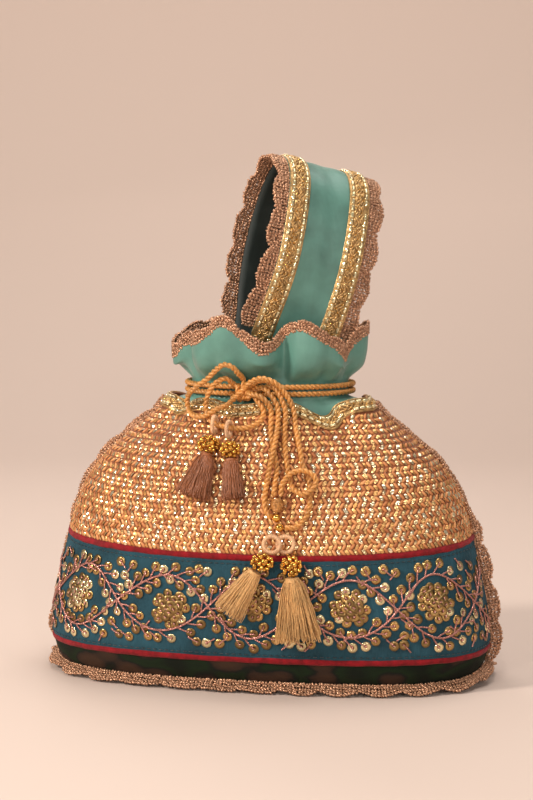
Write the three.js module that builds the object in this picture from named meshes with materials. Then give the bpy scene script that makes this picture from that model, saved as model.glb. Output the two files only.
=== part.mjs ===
// Potli bag: an Indian drawstring pouch that stands on a flat oval base, drawn shut and tied in a bow.
// Millimetres. +Z is up, the front with the bow faces -Y, the origin is the middle of the base on the floor.
import * as THREE from "three";
import { mergeVertices } from "three/addons/utils/BufferGeometryUtils.js";

// ---- driving dimensions -------------------------------------------------------------------------
const CLOTH = 1.2; // thickness of each sewn panel
const GAP = 0.3; // clearance between pieces that touch
const BASE_THICK = 1.8; // oval base panel
const LOWER_TRIM_Z = 18.5; // middle of the lower piping
const UPPER_TRIM_Z = 77; // middle of the upper piping at the side seams
const TRIM_SAG = 4.5; // how far the upper piping dips at the middle of the front and back
const TRIM_HIGH = 3.4;
const TRIM_PROUD = 0.8;
const PANEL_TOP_Z = 151; // top edge of the woven panels between pleats
const BRAID_WIDE = 6.5;
const SCALLOP = 21; // pitch of the crochet lace
const LACE_THICK = 1.0;
const SIDE_LACE = 8;
const BASE_LACE = 6.5;
const CUFF_THICK = 1.1;
const NECK_W = 42.3; // half width and half depth of the neck under the drawstring
const NECK_D = 29.3;
const RIM_Z = 180; // mean height of the cuff's satin edge
const CUFF_TUCK = 0.7; // extra room between the cuff's sewn edge and the panels over it
const CUFF_LACE = 5.5;
const CORD = 3.2; // diameter of the twisted drawstring
const STRAP_WIDE = 46; // satin and both gold braids
const STRAP_BRAID = 11.5;
const STRAP_LACE = 8;
const TOP = 154; // top of the closed lining pouch inside the neck

// Half width and half depth of the stuffed bag at each height, and how square its outline is.
const HALF_WIDTH = [
  [0, 110], [4, 114], [12, 118], [24, 120.5], [40, 119], [60, 114.5], [78, 110.5], [90, 107],
  [100, 103], [110, 97], [118, 90.5], [126, 81.5], [134, 71], [142, 61], [152, 51],
];
const HALF_DEPTH = [
  [0, 48], [4, 52], [12, 58], [24, 62], [40, 63.5], [60, 63.5], [78, 62], [90, 60],
  [100, 57.5], [110, 54.5], [118, 51.5], [126, 48], [134, 43.5], [142, 38], [152, 31.8],
];
const SQUARENESS = [[0, 2.7], [40, 2.5], [80, 2.3], [120, 2.15], [155, 2]];
// Pleats that run down from the neck: middle (degrees from +X), height (out is plus), width (degrees).
const PLEATS = [
  [-54, -8, 13], [-22, 5, 14], [-92, 3, 18], [-140, -6, 10], [-165, 3, 10],
  [35, -6, 14], [72, 4, 16], [100, -5, 12], [150, -6, 14], [172, 2, 10],
];
// Where the top edge of the woven panels is pulled down: middle, depth, width.
const EDGE_DIPS = [[-54, 9, 12], [-100, 2.5, 14], [-140, 4, 9], [35, 7, 13], [100, 6, 12], [150, 5, 12]];
// Folds of the satin cuff: middle, height, width.
const CUFF_FOLDS = [
  [-71, -9, 7], [-112, 4, 22], [-45, 4, 18], [-150, -5, 9], [-176, 4, 14], [-20, -3, 8], [5, 4, 12],
  [38, -4, 10], [66, 5, 14], [95, -3, 9], [125, 4, 15], [152, -4, 9],
];
// How far the cuff's edge rises or falls from its mean height: middle, height, width.
const RIM_WAVES = [
  [-140, -2, 12], [-109, 8, 11], [-85, -5, 10], [-62, 6, 10], [-26, -8, 13], [5, 3, 14], [60, 2, 20],
  [140, 3, 20], [-172, -8, 14],
];

const RAD = Math.PI / 180;
const PARTS = [];

function ease(list, x) {
  const n = list.length;
  if (x <= list[0][0]) return list[0][1];
  if (x >= list[n - 1][0]) return list[n - 1][1];
  let i = 0;
  while (x >= list[i + 1][0]) i++;
  const slope = (k) => (list[k + 1][1] - list[k][1]) / (list[k + 1][0] - list[k][0]);
  const tangent = (k) => {
    if (k === 0) return slope(0);
    if (k === n - 1) return slope(n - 2);
    const [a, b] = [slope(k - 1), slope(k)];
    return a * b <= 0 ? 0 : (2 * a * b) / (a + b);
  };
  const h = list[i + 1][0] - list[i][0];
  const t = (x - list[i][0]) / h;
  const [m0, m1] = [tangent(i) * h, tangent(i + 1) * h];
  return (2 * t ** 3 - 3 * t ** 2 + 1) * list[i][1] + (t ** 3 - 2 * t ** 2 + t) * m0
    + (3 * t ** 2 - 2 * t ** 3) * list[i + 1][1] + (t ** 3 - t ** 2) * m1;
}

function bumps(list, deg) {
  let sum = 0;
  for (const [middle, high, wide] of list) {
    const d = ((((deg - middle + 180) % 360) + 360) % 360) - 180;
    sum += high * Math.exp(-((d / wide) ** 2));
  }
  return sum;
}

function oval(a, z, w, d, n, fold) {
  const [c, s] = [Math.cos(a), Math.sin(a)];
  const k = (Math.abs(c) ** n + Math.abs(s) ** n) ** (-1 / n);
  const [nx, ny] = [c / w, s / d];
  const l = Math.hypot(nx, ny);
  return new THREE.Vector3(w * k * c + (nx / l) * fold, d * k * s + (ny / l) * fold, z);
}

// A point on the outside of the bag at angle a and height z.
function bagAt(a, z) {
  const t = Math.min(Math.max((z - 92) / 58, 0), 1);
  const fold = bumps(PLEATS, a / RAD) * t * t;
  return oval(a, z, ease(HALF_WIDTH, z), ease(HALF_DEPTH, z), ease(SQUARENESS, z), fold);
}

// The cuff at angle a, r from 0 at its sewn lower edge to 1 at its rim, over 1 into the lace.
function cuffAt(a, r) {
  const deg = a / RAD;
  const top = edgeZ(a);
  const rim = RIM_Z + bumps(RIM_WAVES, deg);
  const rows = [0, 0.12, 0.2, 0.26, 0.36, 0.46, 0.62, 0.82, 1.25];
  const zs = [top - 9, top - 1, 150.6, 151.8, 159.6, 162, 168, rim - 5, rim + 11];
  const ws = [0, 0, NECK_W + 0.7, NECK_W, NECK_W, 44, 48, 49, 49.5];
  const ds = [0, 0, NECK_D + 0.5, NECK_D, NECK_D, 31.5, 37.5, 40, 40.5];
  const swing = [0, 0, 0, 0, 0, 0.25, 0.9, 1, 1];
  const col = (vals) => ease(rows.map((v, i) => [v, vals[i]]), r);
  const tuck = -CLOTH - GAP - CUFF_TUCK - CUFF_THICK / 2;
  const ring = (i) => oval(a, zs[i], ws[i], ds[i], 2, swing[i] * bumps(CUFF_FOLDS, deg));
  const pts = rows.map((_, i) => (i < 2 ? offsetPoint(bagAt, a, zs[i], tuck) : ring(i)));
  return new THREE.Vector3(
    col(pts.map((p) => p.x)), col(pts.map((p) => p.y)), col(pts.map((p) => p.z)));
}

function edgeZ(a) {
  return PANEL_TOP_Z - bumps(EDGE_DIPS, a / RAD);
}
const upperTrimZ = (a) => UPPER_TRIM_Z - TRIM_SAG * Math.abs(Math.sin(a)) ** 1.5;

function normalAt(at, u, v, du = 1e-3, dv = 0.2) {
  const a = at(u + du, v).sub(at(u - du, v));
  const b = at(u, v + dv).sub(at(u, v - dv));
  return a.cross(b).normalize();
}
function offsetPoint(at, u, v, out, dv) {
  return at(u, v).addScaledVector(normalAt(at, u, v, 1e-3, dv), out);
}

// A closed solid from a grid of points on its outer face and one on its inner face.
// ring joins the last column to the first; otherwise all four edges are closed.
function slab(outer, inner, nu, nv, ring) {
  const cols = ring ? nu : nu + 1;
  const pos = [];
  for (const face of [outer, inner]) {
    for (let j = 0; j <= nv; j++) for (let i = 0; i < cols; i++) pos.push(...face(i / nu, j / nv).toArray());
  }
  const id = (f, i, j) => f * cols * (nv + 1) + j * cols + (i % cols);
  const tri = [];
  const quad = (a, b, c, d) => tri.push(a, b, c, a, c, d);
  for (let j = 0; j < nv; j++) {
    for (let i = 0; i < nu; i++) {
      quad(id(0, i, j), id(0, i + 1, j), id(0, i + 1, j + 1), id(0, i, j + 1));
      quad(id(1, i, j), id(1, i, j + 1), id(1, i + 1, j + 1), id(1, i + 1, j));
    }
  }
  for (let i = 0; i < nu; i++) {
    quad(id(0, i, 0), id(1, i, 0), id(1, i + 1, 0), id(0, i + 1, 0));
    quad(id(0, i, nv), id(0, i + 1, nv), id(1, i + 1, nv), id(1, i, nv));
  }
  if (!ring) {
    for (let j = 0; j < nv; j++) {
      quad(id(0, 0, j), id(0, 0, j + 1), id(1, 0, j + 1), id(1, 0, j));
      quad(id(0, nu, j), id(1, nu, j), id(1, nu, j + 1), id(0, nu, j + 1));
    }
  }
  return solid(pos, tri);
}

// A geometry whose faces all look outward, whichever way round its grid was laid.
function solid(pos, tri) {
  let volume = 0;
  const at = (i) => new THREE.Vector3().fromArray(pos, 3 * i);
  for (let k = 0; k < tri.length; k += 3) volume += at(tri[k]).dot(at(tri[k + 1]).cross(at(tri[k + 2])));
  const g = new THREE.BufferGeometry();
  g.setAttribute("position", new THREE.Float32BufferAttribute(pos, 3));
  g.setIndex(volume > 0 ? tri : tri.reverse());
  return g;
}

// A solid stacked from closed rings of points, with a flat bottom and top.
function stack(rings, n) {
  const pos = [];
  for (const ring of rings) for (let i = 0; i < n; i++) pos.push(...ring(i / n).toArray());
  const mid = (k) => {
    const c = new THREE.Vector3();
    for (let i = 0; i < n; i++) c.add(rings[k](i / n));
    return c.divideScalar(n);
  };
  const last = rings.length - 1;
  pos.push(...mid(0).toArray(), ...mid(last).toArray());
  const tri = [];
  for (let j = 0; j < last; j++) {
    for (let i = 0; i < n; i++) {
      const [a, b] = [j * n + i, j * n + ((i + 1) % n)];
      tri.push(a, b, b + n, a, b + n, a + n);
    }
  }
  const [lo, hi] = [rings.length * n, rings.length * n + 1];
  for (let i = 0; i < n; i++) {
    tri.push(lo, (i + 1) % n, i, hi, last * n + i, last * n + ((i + 1) % n));
  }
  return solid(pos, tri);
}

function add(name, geometry, color, roughness = 0.9, metalness = 0) {
  for (const k of ["normal", "uv"]) if (geometry.attributes[k]) geometry.deleteAttribute(k);
  const g = mergeVertices(geometry, 1e-3);
  g.computeVertexNormals();
  const mesh = new THREE.Mesh(g, new THREE.MeshStandardMaterial({ color, roughness, metalness }));
  mesh.name = name;
  PARTS.push(mesh);
}

// ---- colours ------------------------------------------------------------------------------------
const TEAL = "#6fa798";
const TEAL_DARK = "#20332e";
const BAND = "#2b5560";
const BROCADE = "#c9955f";
const GREEN = "#1d2f14";
const CRIMSON = "#941628";
const LACE = "#a87a63";
const GOLD = "#b08a4a";
const CORD_GOLD = "#cf8c3a";
const BEAD = "#c08a2c";

// ---- the bag ------------------------------------------------------------------------------------
// Front and back halves meet at the side seams, where the lace stands between them.
const HALVES = [["front", -180, 0], ["back", 0, 180]];
const SEAM = 0.9;
function halfAngle(from, to, u, z) {
  const cut = SEAM / ease(HALF_DEPTH, z);
  return THREE.MathUtils.lerp(from * RAD + cut, to * RAD - cut, u);
}

// A strip of cloth between two heights on one half of the bag.
function clothStrip(from, to, lowZ, highZ, outA, outB, nu, nv) {
  const face = (out) => (u, v) => {
    const a0 = THREE.MathUtils.lerp(from, to, u) * RAD;
    const z = THREE.MathUtils.lerp(lowZ(a0), highZ(a0), v);
    return offsetPoint(bagAt, halfAngle(from, to, u, z), z, out);
  };
  return slab(face(outB), face(outA), nu, nv, false);
}

const H = TRIM_HIGH / 2 + GAP;
for (const [side, from, to] of HALVES) {
  add(`base_wall_${side}`, clothStrip(from, to, () => 0.2, () => LOWER_TRIM_Z - H, -CLOTH, 0, 24, 2), GREEN, 0.8);
  add(`lower_trim_${side}`, clothStrip(from, to, () => LOWER_TRIM_Z - TRIM_HIGH / 2,
    () => LOWER_TRIM_Z + TRIM_HIGH / 2, -CLOTH, TRIM_PROUD, 24, 1), CRIMSON);
  add(`band_${side}`, clothStrip(from, to, () => LOWER_TRIM_Z + H, (a) => upperTrimZ(a) - H, -CLOTH, 0, 24, 3), BAND);
  add(`upper_trim_${side}`, clothStrip(from, to, (a) => upperTrimZ(a) - TRIM_HIGH / 2,
    (a) => upperTrimZ(a) + TRIM_HIGH / 2, -CLOTH, TRIM_PROUD, 24, 1), CRIMSON);
  add(`woven_panel_${side}`, clothStrip(from, to, (a) => upperTrimZ(a) + H, edgeZ, -CLOTH, 0, 40, 6), BROCADE, 0.6, 0.2);
  add(`neck_braid_${side}`, clothStrip(from, to, (a) => edgeZ(a) - BRAID_WIDE, edgeZ, 3 * GAP, 3 * GAP + 0.9, 40, 1),
    GOLD, 0.5, 0.5);
}

// Oval base panel between the base walls: the flat face that the bag stands on.
const baseRing = (z) => (t) => {
  const a = t * 2 * Math.PI;
  const w = ease(HALF_WIDTH, 0) - CLOTH - GAP;
  const d = ease(HALF_DEPTH, 0) - CLOTH - GAP;
  return oval(a, z, w, d, ease(SQUARENESS, 0), 0);
};
add("base_panel", stack([baseRing(0), baseRing(BASE_THICK)], 48), GREEN, 0.85);

// The lining pouch, closed at the neck by the drawstring.
const LINED = -CLOTH - GAP - 0.3;
const pouchRing = (z, out) => (t) => offsetPoint(bagAt, t * 2 * Math.PI, z, out);
const pouchOval = (z, w, d) => (t) => oval(t * 2 * Math.PI, z, w, d, 2, 0);
const inFlat = (ring, z) => (t) => ring(t).setZ(z);
add("lining_pouch", stack([
  inFlat(pouchRing(4, -5), BASE_THICK + GAP), pouchRing(6, LINED), pouchRing(16, LINED), pouchRing(30, LINED),
  pouchRing(50, LINED), pouchRing(70, LINED), pouchRing(88, LINED), pouchRing(103, LINED), pouchRing(114, LINED),
  pouchRing(122, LINED - 0.6), pouchRing(129, LINED - 2.8), pouchOval(138, 50, 30.5), pouchOval(145, 41, 26.6),
  pouchOval(TOP, 40.2, 26.4),
], 48), TEAL_DARK);

// ---- satin cuff above the drawstring ------------------------------------------------------------
const cuffFace = (out) => (u, v) => {
  const r = 0.02 + v * 0.98;
  return offsetPoint(cuffAt, u * 2 * Math.PI, r, out, 0.01);
};
add("cuff", slab(cuffFace(CUFF_THICK / 2), cuffFace(-CUFF_THICK / 2), 80, 10, true), TEAL, 0.45);
const scallop = (s, pitch) => Math.abs(Math.sin((Math.PI * s) / pitch));
const rimFace = (out) => (u, v) => {
  const high = 0.75 + 0.25 * scallop(u * 15 + 0.3, 1);
  const r = 1.012 + v * (CUFF_LACE / 40) * high;
  return offsetPoint(cuffAt, u * 2 * Math.PI, r, out, 0.01);
};
add("cuff_lace", slab(rimFace(LACE_THICK / 2), rimFace(-LACE_THICK / 2), 80, 1, true), LACE);

// ---- crochet lace on the seams ------------------------------------------------------------------
// How far the side lace is folded toward the back at each height, in degrees.
const LACE_FOLD = {
  right: [[60, 10], [80, 24], [92, 62], [134, 62], [147, 25]],
  left: [[20, 5], [32, 55], [74, 58], [90, 28], [150, 20]],
};
const LACE_ROOT = 1.2; // the part next to the seam stands straight out
for (const [side, sign] of [["right", 1], ["left", -1]]) {
  const face = (y) => (u, v) => {
    const z = THREE.MathUtils.lerp(12, 147, u);
    const a = sign > 0 ? 0 : Math.PI;
    const wide = SIDE_LACE * (0.62 + 0.38 * scallop(z, SCALLOP));
    const out = v < 0.5 ? THREE.MathUtils.lerp(-0.8, LACE_ROOT, v * 2) : THREE.MathUtils.lerp(LACE_ROOT, wide, v * 2 - 1);
    const n = normalAt(bagAt, a, z);
    const fold = out > LACE_ROOT ? ease(LACE_FOLD[side], z) * RAD : 0;
    const turn = v < 0.5 ? 0 : (v < 0.6 ? 0.5 : 1) * ease(LACE_FOLD[side], z) * RAD;
    const back = new THREE.Vector3(0, 1, 0);
    return bagAt(a, z).addScaledVector(n, Math.min(out, LACE_ROOT))
      .addScaledVector(n, Math.cos(fold) * Math.max(0, out - LACE_ROOT))
      .addScaledVector(back, Math.sin(fold) * Math.max(0, out - LACE_ROOT))
      .addScaledVector(back, y * Math.cos(turn)).addScaledVector(n, -y * Math.sin(turn));
  };
  const half = LACE_THICK / 2;
  add(`side_lace_${side}`, slab(face(-sign * half), face(sign * half), 28, 2, false), LACE);
}
const baseLace = (drop) => (u, v) => {
  const a = u * 2 * Math.PI;
  const rise = Math.abs(Math.cos(a)) ** 12;
  const wide = BASE_LACE * (0.62 + 0.38 * scallop(u * 26, 1));
  const z = THREE.MathUtils.lerp(4.2 + 3.5 * rise, 1.6 + 6 * rise, v) - drop;
  return bagAt(a, 4.2 + 3.5 * rise).addScaledVector(
    normalAt(bagAt, a, 4.2 + 3.5 * rise).setZ(0).normalize(), 0.6 + wide * v).setZ(z);
};
add("base_lace", slab(baseLace(0), baseLace(LACE_THICK), 78, 1, true), LACE);

// ---- wrist handle -------------------------------------------------------------------------------
// Its middle line in the plane of the loop: across (front is minus) and up from the neck.
const HANDLE_LINE = [
  [-14, 1], [-18, 10], [-21, 20], [-25, 36], [-28, 54], [-29, 73], [-26, 93], [-19.5, 107.5], [-9, 115.5],
  [3, 117], [14, 111.5], [22.5, 99], [27.5, 82], [28, 63], [26, 44], [22, 26], [18, 12], [14, 1],
];
const YAW_FOOT = 22; // degrees that the loop is turned at its feet and at its top
const YAW_TOP = 31;
const HANDLE_LEAN = 13 * RAD;
const HANDLE_FOOT = new THREE.Vector3(2, 0, 158.6);
const handleCurve = new THREE.CatmullRomCurve3(
  HANDLE_LINE.map(([h, v]) => new THREE.Vector3(h, v, 0)), false, "centripetal");
// A point on the handle: u along it, w across its width from the middle, out from its middle layer.
function handleAt(u, w, out) {
  const p = handleCurve.getPointAt(u);
  const t = handleCurve.getTangentAt(u);
  const n = new THREE.Vector3(-t.y, t.x, 0);
  const narrow = 1 - 0.3 * Math.max(0, 1 - Math.min(u, 1 - u) / 0.09);
  const [h, v] = [p.x + n.x * out, p.y + n.y * out];
  const yaw = THREE.MathUtils.lerp(YAW_FOOT, YAW_TOP, THREE.MathUtils.smoothstep(p.y, 4, 66)) * RAD;
  const level = new THREE.Vector3(Math.cos(yaw), Math.sin(yaw), 0);
  const sideways = v * Math.sin(HANDLE_LEAN) + w * narrow * Math.cos(HANDLE_LEAN);
  const up = v * Math.cos(HANDLE_LEAN) - w * narrow * Math.sin(HANDLE_LEAN);
  return HANDLE_FOOT.clone().add(new THREE.Vector3(-h * level.y, h * level.x, up)).addScaledVector(level, sideways);
}
function handleStrip(w0, w1, lo, hi, u0, u1, nu, nv, edge = () => 1) {
  const face = (out) => (u, v) => {
    const s = THREE.MathUtils.lerp(u0, u1, u);
    return handleAt(s, w0 + (w1 - w0) * v * edge(s), out);
  };
  return slab(face(hi), face(lo), nu, nv, false);
}
const HALF = STRAP_WIDE / 2;
add("handle_lining", handleStrip(-HALF, HALF, -1.4, 0, 0, 1, 36, 1), TEAL_DARK);
add("handle_satin", handleStrip(-HALF, HALF, GAP, GAP + 0.7, 0, 1, 36, 1), TEAL, 0.45);
for (const [side, s] of [["right", 1], ["left", -1]]) {
  add(`handle_braid_${side}`, handleStrip(s * (HALF - STRAP_BRAID), s * HALF, 2 * GAP + 0.7, 2 * GAP + 1.6,
    0, 1, 36, 1), GOLD, 0.5, 0.5);
  const edge = (u) => 0.62 + 0.38 * scallop(u * handleCurve.getLength() + 4 * s, SCALLOP);
  add(`handle_lace_${side}`, handleStrip(s * (HALF + GAP), s * (HALF + STRAP_LACE), -0.7, 0.3,
    0.1, 0.9, 48, 1, edge), LACE);
}

// ---- drawstring ---------------------------------------------------------------------------------
const ROUND = 8;
function tube(points, step) {
  const curve = new THREE.CatmullRomCurve3(points, false, "centripetal");
  const shape = new THREE.Shape();
  for (let i = 0; i < ROUND; i++) {
    const a = (2 * Math.PI * i) / ROUND;
    shape[i ? "lineTo" : "moveTo"]((CORD / 2) * Math.cos(a), (CORD / 2) * Math.sin(a));
  }
  const steps = Math.max(4, Math.round(curve.getLength() / step));
  return new THREE.ExtrudeGeometry(shape, { steps, extrudePath: curve, bevelEnabled: false });
}

const KNOT = new THREE.Vector3(-6, -34.8, 156);
const KNOT_SIZE = new THREE.Vector3(7, 4.6, 5.2);
const knot = new THREE.SphereGeometry(1, 14, 10);
knot.scale(KNOT_SIZE.x, KNOT_SIZE.y, KNOT_SIZE.z);
knot.rotateY(0.35);
knot.translate(KNOT.x, KNOT.y, KNOT.z);
add("bow_knot", knot, CORD_GOLD, 0.6);

// Two turns of the cord around the pinched neck, from one side of the knot to the other.
[["upper", 157.7], ["lower", 154]].forEach(([name, z], k) => {
  const points = [];
  const [from, to] = [-89 + k, 248 - k];
  for (let i = 0; i <= 26; i++) {
    const a = THREE.MathUtils.lerp(from, to, i / 26) * RAD;
    const grow = CORD / 2 + CUFF_THICK / 2 + 2.5 * GAP;
    points.push(new THREE.Vector3((NECK_W + grow) * Math.cos(a), (NECK_D + grow) * Math.sin(a), z));
  }
  add(`neck_cord_${name}`, tube(points, 8), CORD_GOLD, 0.6);
});

// The cord's free runs, as across, up and out from the front of the bag, each from the knot.
function frontY(x, z) {
  const h = Math.min(z, 147);
  let [lo, hi] = [-Math.PI, 0];
  for (let i = 0; i < 40; i++) {
    const m = (lo + hi) / 2;
    if (bagAt(m, h).x < x) lo = m;
    else hi = m;
  }
  return bagAt((lo + hi) / 2, h).y;
}
// The cord keeps off the shoulder as the cloth draws in under the neck: height, clearance.
const STAND_OFF = [[124, 0], [134, 1.5], [142, 3], [147, 3.6]];
const inFront = ([x, z, out]) => new THREE.Vector3(x, frontY(x, z) - ease(STAND_OFF, z) - out, z);
const RUNS = {
  bow_loop_high: [
    [-7, 162.2, -4.6], [-8.6, 166, 2], [-11, 169.2, 5.2], [-15.5, 170.2, 5.6], [-20.5, 166.8, 5.6],
    [-25.5, 162, 5.5], [-32, 157.5, 8.5],
    [-37.5, 152, 9], [-37.5, 146.8, 8], [-32.5, 143.2, 7], [-25.5, 143.4, 8], [-19.2, 147, 9],
    [-14, 149, 5.4], [-11.5, 151.6, 0.6],
  ],
  bow_loop_low: [
    [-12.5, 159.5, -4.5], [-16, 162.5, 0], [-20.5, 160.5, 3], [-24, 156, 4.5], [-26, 151, 4.8], [-26, 146.5, 4.6],
    [-24, 142.3, 4], [-20.5, 139.8, 5], [-16, 138.6, 5.2], [-11, 138, 5.2], [-5, 137.6, 3.8], [1, 139.2, 3.2],
    [5, 142.4, 3.6], [5.8, 146, 4], [4.2, 149.6, 4], [1.9, 152, 2.4], [0, 153.6, -1.4],
  ],
  tail_outer: [
    [0.2, 157, -3.5], [5, 157.6, -0.5], [10, 153.4, 3], [13, 147.5, 4.6], [13.4, 141, 3.4], [13.6, 134, 5],
    [12.8, 127, 6.4], [11.4, 119, 5], [9.8, 110, 2.3], [9.2, 102.5, 2.3], [10.2, 97, 2.6], [12.8, 94, 3.2],
  ],
  tail_inner: [
    [-1.6, 155.2, 2.2], [3.2, 154.6, 5.6], [7.6, 151.2, 5.6], [9.4, 147, 4.2], [9.7, 142, 3], [10.4, 134, 2.2], [12.8, 125, 2.2],
    [14.6, 118, 2.2], [14.2, 110.5, 2.3], [14, 104.4, 2.9],
  ],
  tail_curl: [
    [-0.3, 160.6, -4.5], [6, 161.6, -2], [11.5, 157.4, 1.4], [14.9, 151.8, 4], [16.8, 145.6, 4.6],
    [17, 137, 2.2], [18, 127, 2.2], [20, 118.4, 2.2], [21.8, 111.4, 2.4], [24.8, 107.4, 4.2],
    [29.4, 105.8, 5.8], [33.6, 107.8, 5.9], [35.6, 111.4, 5.9], [34, 115, 5.9], [29.6, 117.2, 5.9],
    [25, 117, 6.1], [20.8, 114.2, 6.2], [18.2, 110, 4.8], [17.7, 104.4, 3.2],
  ],
  tail_right: [
    [-3, 160.2, 2.6], [4, 163.4, 4], [11.6, 161, 4.6], [17.4, 154, 4.6], [20.6, 146.8, 5.4], [22.6, 137, 2.2],
    [25.6, 127, 2.2], [28, 118.6, 2.2], [30.6, 114.6, 2.2], [31.8, 110, 2.2], [32.4, 104, 2.2], [32.4, 99, 2.2],
    [30.8, 93.8, 2.2], [27.4, 89.8, 2.2], [23.6, 88.4, 2.4], [20.7, 88.7, 2.9],
  ],
};
for (const [name, points] of Object.entries(RUNS)) {
  add(name, tube(points.map(inFront), 5.5), CORD_GOLD, 0.6);
}

// Thread whipping that joins two of the tails, then two gold beads.
function lump(name, x, z, out, sx, sy, sz, color, rough, metal, na = 10, nb = 7) {
  const g = new THREE.SphereGeometry(1, na, nb);
  g.scale(sx, sy, sz);
  const at = inFront([x, z, out]);
  g.translate(at.x, at.y, at.z);
  add(name, g, color, rough, metal);
}
lump("tail_whipping", 15.9, 99.8, 3.2, 3.8, 2.6, 3.7, CORD_GOLD, 0.8, 0, 12, 8);
lump("cord_bead_upper", 15.9, 93.5, 3.2, 2.3, 2.3, 2.2, BEAD, 0.3, 0.8);
lump("cord_bead_lower", 17.6, 88.7, 3.2, 2.3, 2.3, 2.2, BEAD, 0.3, 0.8);

// ---- tassels ------------------------------------------------------------------------------------
// Each has a satin-wrapped loop, a cap of small beads and a flared thread skirt.
function ringLoop(name, x, z, out, radius, thick, turn) {
  const g = new THREE.TorusGeometry(radius, thick / 2, 8, 18);
  g.rotateX(Math.PI / 2);
  g.rotateZ(turn);
  const at = inFront([x, z, out]);
  g.translate(at.x, at.y, at.z);
  add(name, g, "#d9b596", 0.6);
}
function skirt(name, top, foot, outTop, outFoot, wTop, wFoot, thick, color) {
  const a = inFront([...top, outTop]);
  const b = inFront([...foot, outFoot]);
  const axis = b.clone().sub(a);
  const across = new THREE.Vector3(axis.z, 0, -axis.x).normalize();
  const deep = axis.clone().normalize().cross(across).normalize();
  const rows = [[0, 1], [0.12, 1.15], [0.4, 1.9], [0.72, 2.6], [1, 3]];
  const ring = ([t, f]) => (s) => {
    const g = (f - 1) / 2;
    const [w, d] = [THREE.MathUtils.lerp(wTop, wFoot, g) / 2, THREE.MathUtils.lerp(wTop * 0.8, thick, g) / 2];
    const c = a.clone().addScaledVector(axis, t);
    return c.addScaledVector(across, w * Math.cos(s * 2 * Math.PI))
      .addScaledVector(deep, d * Math.sin(s * 2 * Math.PI));
  };
  add(name, stack(rows.map(ring), 16), color, 0.8);
}
const BROWN = "#875a32";
const PALE = "#d7aa6e";
ringLoop("tassel_loop_1", -19.8, 139.3, 5.6, 3.9, 1.8, Math.PI / 2 - 0.1);
ringLoop("tassel_loop_2", -11.6, 137.2, 5.6, 3.9, 1.8, Math.PI / 2 - 0.1);
ringLoop("tassel_loop_3", 14.6, 80.6, 5.6, 4.2, 1.8, 0.1);
ringLoop("tassel_loop_4", 21.2, 80.4, 3.4, 4.2, 1.8, 0.1);
lump("tassel_cap_1", -22, 129.4, 5.8, 5.8, 4.2, 4.4, BEAD, 0.3, 0.8, 14, 9);
lump("tassel_cap_2", -10.2, 127.2, 5.6, 5.4, 4.2, 4.4, BEAD, 0.3, 0.8, 14, 9);
lump("tassel_cap_3", 9.8, 71.4, 6, 6, 4.2, 4.4, BEAD, 0.3, 0.8, 14, 9);
lump("tassel_cap_4", 24.8, 69.8, 6, 5.4, 4.4, 5.2, BEAD, 0.3, 0.8, 14, 9);
skirt("tassel_skirt_1", [-22.4, 124.6], [-28.4, 104], 5.4, 5.6, 7, 19, 8, BROWN);
skirt("tassel_skirt_2", [-9.6, 122.3], [-6.6, 103.6], 5.4, 5.6, 7, 12.5, 8, BROWN);
skirt("tassel_skirt_3", [6.4, 66.6], [-7.4, 45.4], 5.8, 6, 8, 16.5, 8, PALE);
skirt("tassel_skirt_4", [25.4, 64], [28.6, 32.4], 5.8, 6, 8, 24, 9, PALE);

const bag = new THREE.Group();
bag.name = "potli_bag";
bag.add(...PARTS);
export default bag;
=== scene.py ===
import bisect
import functools
import math
import random

import bmesh
import bpy
import numpy as np
from mathutils import Matrix, Vector


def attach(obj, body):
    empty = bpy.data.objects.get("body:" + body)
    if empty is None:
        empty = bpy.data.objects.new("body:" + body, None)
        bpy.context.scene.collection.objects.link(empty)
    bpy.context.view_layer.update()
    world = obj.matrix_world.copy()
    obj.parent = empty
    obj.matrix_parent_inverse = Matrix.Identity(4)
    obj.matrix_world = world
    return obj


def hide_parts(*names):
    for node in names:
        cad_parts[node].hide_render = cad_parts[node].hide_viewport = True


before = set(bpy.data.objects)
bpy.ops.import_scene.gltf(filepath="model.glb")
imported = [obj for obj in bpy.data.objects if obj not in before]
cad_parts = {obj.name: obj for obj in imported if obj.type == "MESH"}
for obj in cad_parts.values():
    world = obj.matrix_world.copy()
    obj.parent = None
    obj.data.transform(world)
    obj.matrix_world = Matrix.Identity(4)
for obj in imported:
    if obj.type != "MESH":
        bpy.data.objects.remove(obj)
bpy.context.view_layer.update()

bl_info = {
    "name": "Potli Bag",
    "version": (1, 0, 0),
    "blender": (4, 5, 0),
    "location": "View3D > Sidebar > Potli",
    "description": "A drawstring pouch with an embroidered band, a satin frill, a wrist handle and tassels",
    "category": "Add Mesh",
}

MM = 0.001
RAD = math.pi / 180


def slopes(table):
    """The table's places, values and slopes, for ease."""
    gaps = [(b[1] - a[1]) / (b[0] - a[0]) for a, b in zip(table, table[1:])]
    inner = [0 if a * b <= 0 else 2 * a * b / (a + b) for a, b in zip(gaps, gaps[1:])]
    return [p[0] for p in table], [p[1] for p in table], [gaps[0], *inner, gaps[-1]]


def hermite(places, values, tangents, x):
    if x <= places[0]:
        return values[0]
    if x >= places[-1]:
        return values[-1]
    i = bisect.bisect_right(places, x) - 1
    h = places[i + 1] - places[i]
    t = (x - places[i]) / h
    return ((2 * t**3 - 3 * t**2 + 1) * values[i] + (t**3 - 2 * t**2 + t) * tangents[i] * h
            + (3 * t**2 - 2 * t**3) * values[i + 1] + (t**3 - t**2) * tangents[i + 1] * h)


class Line:
    """A smooth line through (place, value) pairs, read by calling it."""

    def __init__(self, *pairs):
        self.table = slopes(pairs)

    def __call__(self, x):
        return hermite(*self.table, x)


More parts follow.
